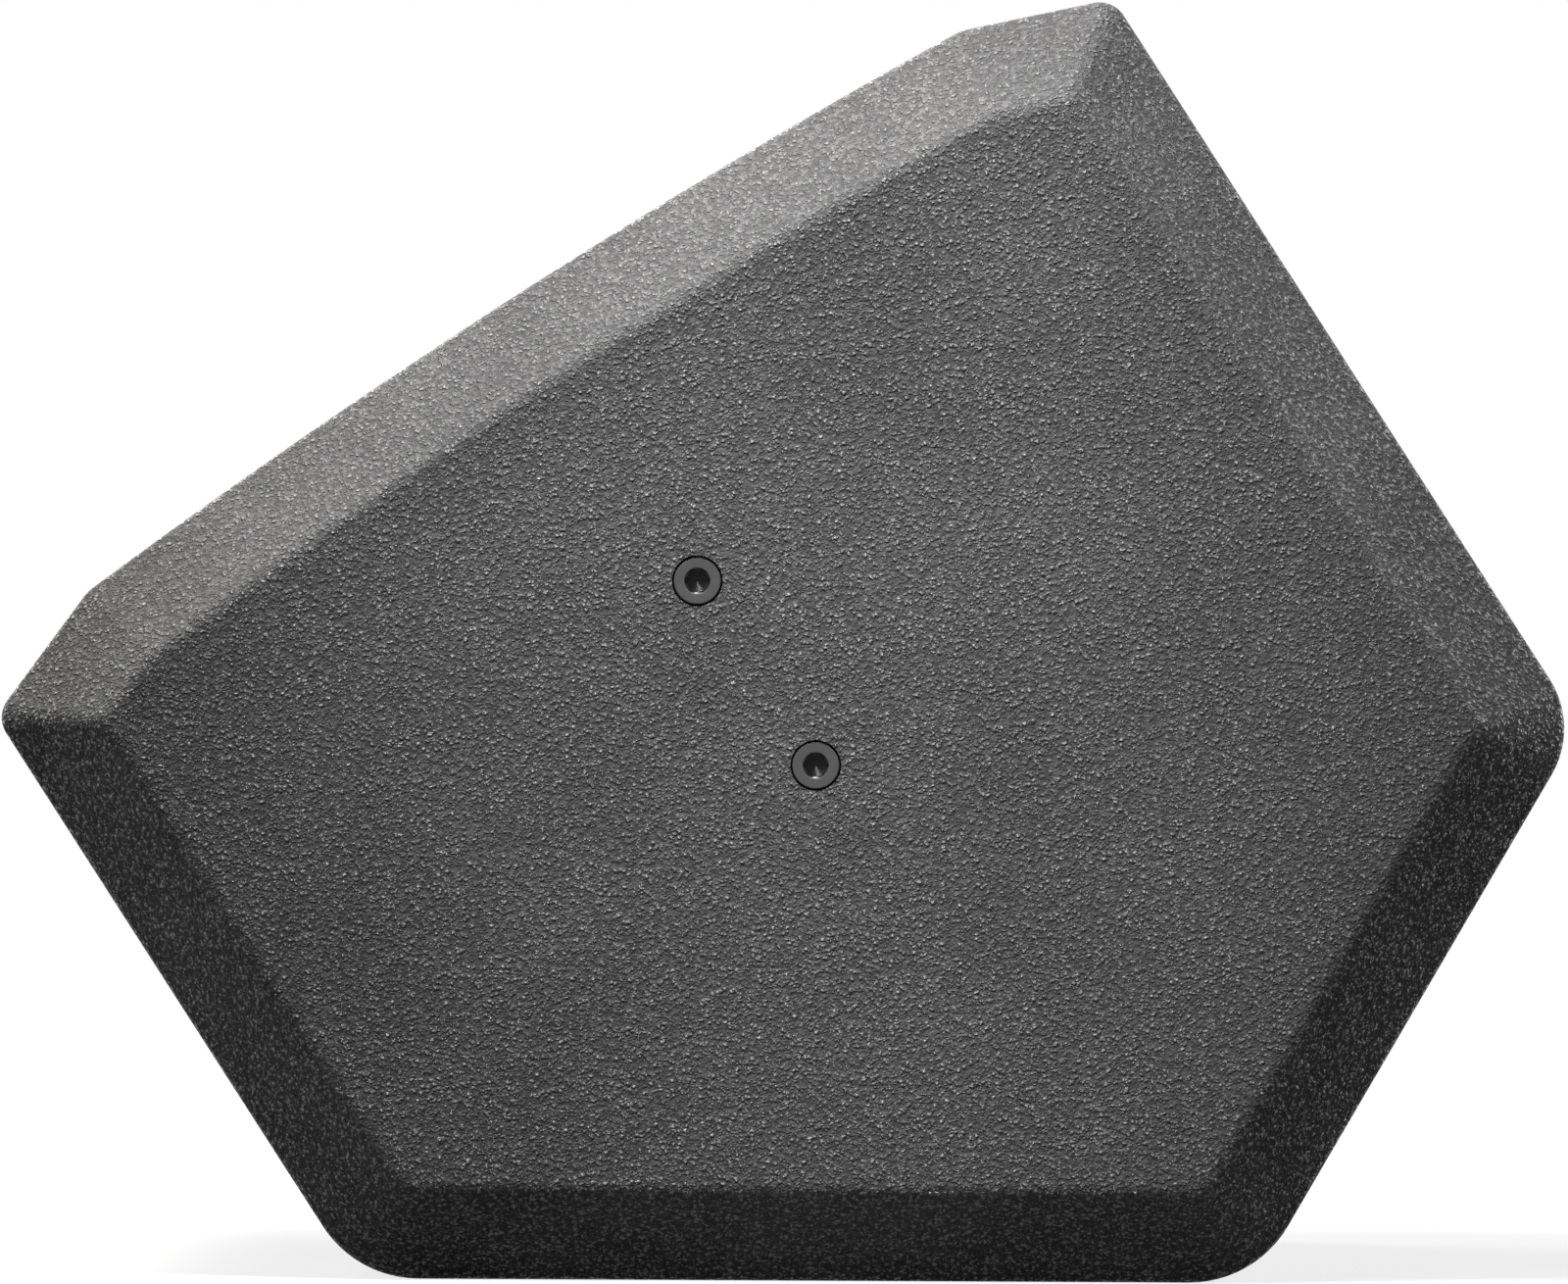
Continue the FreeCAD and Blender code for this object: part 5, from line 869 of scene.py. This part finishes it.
# The recess takes the darker oxide: painted shade inside it.
made.data.materials.append(black_oxide_and_socket_shade)
smooth_edges(made)

GRILLE_HEAD, GRILLE_HEAD_HEIGHT, GRILLE_HEAD_SOFT = 4.0, 2.4, 0.7
GRILLE_SHANK, GRILLE_LENGTH, GRILLE_PITCH = 2.0, 14.0, 110.0
GRILLE_RECESS, GRILLE_SHEET = 1.0, 1.5
GRILLE_HEAD_RINGS = [
    (-GRILLE_HEAD_HEIGHT - GRILLE_LENGTH, GRILLE_SHANK), (-GRILLE_HEAD_HEIGHT, GRILLE_SHANK),
    (-GRILLE_HEAD_HEIGHT, GRILLE_HEAD), *rounded(GRILLE_HEAD, 0, GRILLE_HEAD_SOFT),
]
RECESS = [(0, LOBES), (-LOBE_DEPTH, LOBES)]
facet_middle = (BOARD / math.cos(math.radians(FACET_TURN)) + FACET_LENGTH) / 2
low_facet = board_frame(nose + facet_middle * heading(FRONT_TILT + FACET_TURN), FRONT_TILT + FACET_TURN)
high_facet = board_frame(crown - facet_middle * heading(FRONT_TILT - FACET_TURN), FRONT_TILT - FACET_TURN)
head_top = -GRILLE_RECESS * math.cos(math.radians(FACET_TURN))
GRILLE_SCREW_ROW = [step * GRILLE_PITCH for step in (-1.5, -0.5, 0.5, 1.5)]
form = bmesh.new()
for facet in (low_facet, high_facet):
    for y in GRILLE_SCREW_ROW:
        at = facet @ Matrix.Translation((0, y, head_top))
        lathe(form, at, GRILLE_HEAD_RINGS + RECESS, mouth=len(GRILLE_HEAD_RINGS))
made = new_piece("grille_round_screws", form, oxide_head, stands_for=["grille_screws"])
# The recess takes the darker oxide: painted shade inside it.
made.data.materials.append(black_oxide_and_socket_shade)
smooth_edges(made)
print(len(places), "panel screws and", 2 * len(GRILLE_SCREW_ROW), "grille screws")

# %% [markdown]
# The grille is a steel sheet, punched with staggered round holes, bent over the two brows and bowed
# in between. Cutting thousands of holes with booleans would be slow, so the flat pattern of hole and
# border points is triangulated once, triangles inside holes are dropped, and each point is lifted on
# to the bowed front. The sheet's thickness is then the same net again, lower down, with walls.

# %% Flat pattern of the grille
HOLE_RADIUS, HOLE_PITCH, HOLE_STEPS = 2.6, 7.3, 12
PUNCHED_X, PUNCHED_Y = 137.0, 184.0
SHEET_GAP = 0.3
SHEET_X, SHEET_Y = FRONT_SPAN / 2 - BOARD - SHEET_GAP, INNER_HALF - SHEET_GAP
SCREW_ROOM, SCREW_ROOM_STEPS = 4.3, 24


def front_rise(along):
    """Height of the front's outline over the line from nose to crown."""
    if abs(along) > brow_reach:
        return (FRONT_SPAN / 2 - abs(along)) * math.tan(math.radians(FACET_TURN))
    return brow_rise + FRONT_BOW - bow_radius + math.sqrt(bow_radius ** 2 - along ** 2)


def spread(reach, pitch):
    """Evenly spaced places from -reach to reach, about a pitch apart."""
    count = round(2 * reach / pitch)
    return [reach * (2 * step / count - 1) for step in range(count + 1)]


holes = []
for row, x in enumerate(spread(PUNCHED_X - HOLE_RADIUS, HOLE_PITCH * math.cos(math.radians(30)))):
    shift = HOLE_PITCH / 2 if row % 2 else 0
    columns = spread(PUNCHED_Y - HOLE_RADIUS, HOLE_PITCH)
    holes += [Vector((x, y + shift)) for y in columns if y + shift < PUNCHED_Y - HOLE_RADIUS + 0.1]
rim = [HOLE_RADIUS * heading(360 * step / HOLE_STEPS) for step in range(HOLE_STEPS)]
pattern = [hole + point for hole in holes for point in rim]
screw_x = FRONT_SPAN / 2 - facet_middle * math.cos(math.radians(FACET_TURN))
screw_rooms = [Vector((end * screw_x, y)) for end in (-1, 1) for y in GRILLE_SCREW_ROW]
squeeze = math.cos(math.radians(FACET_TURN))
for room_middle in screw_rooms:
    for step in range(SCREW_ROOM_STEPS):
        around = SCREW_ROOM * heading(360 * step / SCREW_ROOM_STEPS)
        pattern.append(room_middle + Vector((around.x * squeeze, around.y)))
for x in (-SHEET_X, -brow_reach, brow_reach, SHEET_X):
    pattern += [Vector((x, y)) for y in spread(SHEET_Y, HOLE_PITCH)]
for x in spread(brow_reach, HOLE_PITCH)[1:-1]:
    pattern += [Vector((x, -SHEET_Y)), Vector((x, SHEET_Y))]
print(len(holes), "holes and", len(pattern), "points")

# %% [markdown]
# A steel sheet is punched flat and then bent, and so is this one: the flat net is made first, and its
# points are then moved up to the front's bow and facets. A bend modifier knows only one even arc.

# %% Bend and thicken the grille
IN_HOLE, IN_ROOM = 0.94, 0.97
net_points, _, net_faces, *_ = delaunay_2d_cdt(pattern, [], [], 0, 1e-5)
hole_tree = KDTree(len(holes))
for number, hole in enumerate(holes):
    hole_tree.insert((hole.x, hole.y, 0), number)
hole_tree.balance()


def is_open(face):
    """Whether a triangle of the pattern lies in a hole."""
    middle = sum((net_points[corner] for corner in face), Vector((0, 0))) / len(face)
    if hole_tree.find((middle.x, middle.y, 0))[2] < IN_HOLE * HOLE_RADIUS:
        return True
    gaps = [Vector(((middle.x - r.x) / squeeze, middle.y - r.y)).length for r in screw_rooms]
    return min(gaps) < IN_ROOM * SCREW_ROOM


kept = [face for face in net_faces if not is_open(face)]
form = bmesh.new()
layers = []
for drop in (GRILLE_RECESS, GRILLE_RECESS + GRILLE_SHEET):
    bent = [Vector((p.x, p.y, front_rise(p.x) - drop)) for p in net_points]
    layers.append([form.verts.new(front_board @ point) for point in bent])
upper, lower = layers
walls = {}
for face in kept:
    form.faces.new([upper[c] for c in face])
    form.faces.new([lower[c] for c in reversed(face)])
    for at, corner in enumerate(face):
        walls[(corner, face[(at + 1) % len(face)])] = True
for start, end in walls:
    if (end, start) not in walls:
        form.faces.new((upper[end], upper[start], lower[start], lower[end]))
bmesh.ops.delete(form, geom=[v for v in form.verts if not v.link_faces], context="VERTS")
made = new_piece("grille_punched_sheet", form, grille_black, stands_for=["grille"])
smooth_edges(made, 30)
print(made.name, len(made.data.polygons), "faces")

# %% [markdown]
# The carrying grip is a rubber sleeve with ribs for the fingers, over the steel rod. It is turned on
# the lathe along the rod, out over the ribs and back through the bore, so that it stays hollow.

# %% Handle grip
GRIP_RADIUS, GRIP_BORE, GRIP_END, GRIP_DROP = 11.0, 5.1, 76.7, 13.8
RIB_PITCH, RIB_DEPTH, GRIP_SOFT, PLAIN_END = 4.2, 0.7, 1.6, 6
# share of a rib's pitch, share of its depth
RIB = [(0.1, 0), (0.25, 0.85), (0.4, 1), (0.6, 1), (0.75, 0.85), (0.9, 0)]
rib_count = int(2 * (GRIP_END - PLAIN_END) / RIB_PITCH)
rings = [(-GRIP_END, GRIP_BORE), (-GRIP_END, GRIP_RADIUS - GRIP_SOFT)]
rings += [(-GRIP_END + 0.4 * GRIP_SOFT, GRIP_RADIUS - 0.3 * GRIP_SOFT), (-GRIP_END + GRIP_SOFT, GRIP_RADIUS)]
for step in range(rib_count):
    start = (step - rib_count / 2) * RIB_PITCH
    rings += [(start + share * RIB_PITCH, GRIP_RADIUS - RIB_DEPTH * sink) for share, sink in RIB]
rings += [(-height, radius) for height, radius in reversed(rings[:4])]
form = bmesh.new()
along_rod = Matrix.Translation((HANDLE_MIDDLE, 0, -GRIP_DROP)) @ Matrix.Rotation(math.radians(-90), 4, "X")
lathe(form, top_board @ along_rod, rings, 40, loop=True)
made = new_piece("handle_ribbed_grip", form, rubber, stands_for=["handle_grip"])
smooth_edges(made, 50)
print(made.name, rib_count, "ribs")

# %% [markdown]
# Small things on the amplifier panel: a dished button, three domed lamps, a painted pointer in the
# knob's groove, dots round the knob, and the usual bar and ring on the rocker. Each is turned or
# drawn in its own place and rides on the body that it belongs to, so it moves with its control.

# %% Button and lamps
PANEL_FLOOR = -17.0
CONTROL_ROW = -26.04
BUTTON_Y, BUTTON_RADIUS, BUTTON_TOP, BUTTON_FOOT = 128.0, 4.0, -13.5, -23.0
BUTTON_SOFT = 0.6
BUTTON = [(BUTTON_FOOT, BUTTON_RADIUS), *rounded(BUTTON_RADIUS, BUTTON_TOP, BUTTON_SOFT),
          (BUTTON_TOP - 0.15, 2.6), (BUTTON_TOP - 0.35, 1.4), (BUTTON_TOP - 0.4, 0.1)]
form = bmesh.new()
lathe(form, rear_board @ Matrix.Translation((CONTROL_ROW, BUTTON_Y, 0)), BUTTON)
made = new_piece("preset_dished_button", form, rubber, "button", ["preset_button"])
smooth_edges(made, 50)

LAMP_Y, LAMP_PITCH, LAMP_RADIUS, LAMP_TOP, LAMP_FOOT = 158.0, 9.0, 1.5, -16.0, -22.0
LAMP_DOME, DOME_STEPS = 0.98, 8
LAMP = [(LAMP_FOOT, LAMP_RADIUS), *rounded(LAMP_RADIUS, LAMP_TOP, LAMP_DOME, DOME_STEPS)]
form = bmesh.new()
for number, step in enumerate((-1, 0, 1)):
    before = len(form.faces)
    at = rear_board @ Matrix.Translation((CONTROL_ROW, LAMP_Y + step * LAMP_PITCH, 0))
    lathe(form, at, LAMP, 32)
    for face in list(form.faces)[before:]:
        face.material_index = number
made = new_piece("status_domed_lamps", form, lenses[0], stands_for=["status_lights"])
for lens in lenses[1:]:
    made.data.materials.append(lens)
smooth_edges(made, 50)
print("button and lamps")

# %% [markdown]
# The marks are printed or painted on the real panel. An image would need a layout of its own on each
# piece, so each mark is a film of paint with a little thickness, laid where the printer would lay it.

# %% Painted marks
KNOB_Y, KNOB_TOP = 88.0, -4.3
DOT_REACH, DOT_RADIUS, DOT_COUNT, DOT_SWEEP, INK = 13.6, 0.55, 11, 150.0, 0.06
mark_paint = finish("mark_paint", (0.62, 0.62, 0.6), (0.5, 0.65), shift=0.06, grain_scale=2000,
                    relief=0.01)
DOT = [(0, DOT_RADIUS), (INK, DOT_RADIUS)]
form = bmesh.new()
for step in range(DOT_COUNT):
    turn = 180 + DOT_SWEEP * (2 * step / (DOT_COUNT - 1) - 1)
    spot = Vector((CONTROL_ROW, KNOB_Y)) + DOT_REACH * heading(turn)
    lathe(form, rear_board @ Matrix.Translation((*spot, PANEL_FLOOR)), DOT, 20)
new_piece("level_dots", form, mark_paint)


def bar(form, board, low, high):
    """A small block between two corners of a board's frame."""
    flat = [(low[0], low[1]), (high[0], low[1]), (high[0], high[1]), (low[0], high[1])]
    loft(form, [[board @ Vector((x, y, z)) for x, y in flat] for z in (low[2], high[2])])


form = bmesh.new()
POINTER_DEPTH, POINTER_SUNK, POINTER_HALF = 0.6, 0.15, 0.5
POINTER_START, POINTER_END = 1.0, 9.0
pointer_low = (CONTROL_ROW - POINTER_END, KNOB_Y - POINTER_HALF, KNOB_TOP - POINTER_DEPTH)
pointer_high = (CONTROL_ROW - POINTER_START, KNOB_Y + POINTER_HALF, KNOB_TOP - POINTER_SUNK)
bar(form, rear_board, pointer_low, pointer_high)
new_piece("level_pointer", form, mark_paint, "level_control")

ROCKER_Y, ROCKER_PIVOT, ROCKER_TILT = -144.0, -18.2, 9.0
ROCKER_HALF, ROCKER_RISE, ROCKER_DIP = 7.6, 4.0, 1.0
on_rocker = rear_board @ Matrix.Translation((CONTROL_ROW, ROCKER_Y, ROCKER_PIVOT))
on_rocker = on_rocker @ Matrix.Rotation(math.radians(ROCKER_TILT), 4, "Y")
BAR_X, BAR_Y, INK_FOOT = 1.6, 0.3, -0.02
RING_BORE, RING_RADIUS = 1.1, 1.7
RING = [(INK_FOOT, RING_BORE), (INK_FOOT, RING_RADIUS), (INK, RING_RADIUS), (INK, RING_BORE)]
slope = math.atan(ROCKER_DIP / ROCKER_HALF)


def rocker_half(end):
    """Frame on the middle of one sloping half of the rocker."""
    middle = (end * ROCKER_HALF / 2, 0, ROCKER_RISE - ROCKER_DIP / 2)
    return on_rocker @ Matrix.Translation(middle) @ Matrix.Rotation(-end * slope, 4, "Y")


form = bmesh.new()
bar(form, rocker_half(-1), (-BAR_X, -BAR_Y, INK_FOOT), (BAR_X, BAR_Y, INK))
lathe(form, rocker_half(1), RING, 32, loop=True)
new_piece("power_bar_and_ring", form, mark_paint, "rocker")
print("dots, pointer, bar and ring")

# %% [markdown]
# Moulded and pressed pieces have no knife edges. Their solids stay, with their corners merged and a
# small round put on every sharp edge by modifiers, which leave the solid itself alone.

# %% Softened edges on the solids
MERGE, BEVEL_STEPS, BEVEL_ANGLE = 0.00001, 2, 40
SOFTENED = [
    (0.5, "amp_pan handle_cup pole_socket"),
    (0.3, "heat_sink mains_inlet switch_frame power_rocker xlr_input xlr_link level_knob xlr_latch"),
]
for width, names in SOFTENED:
    for name in names.split():
        weld = nodes[name].modifiers.new("merged_corners", "WELD")
        weld.merge_threshold = MERGE
        edge = nodes[name].modifiers.new("soft_edges", "BEVEL")
        edge.width = width * MM
        edge.segments = BEVEL_STEPS
        edge.limit_method = "ANGLE"
        edge.angle_limit = math.radians(BEVEL_ANGLE)
        weights = nodes[name].modifiers.new("even_normals", "WEIGHTED_NORMAL")
        weights.keep_sharp = False
print(sum(len(names.split()) for _, names in SOFTENED), "solids softened")
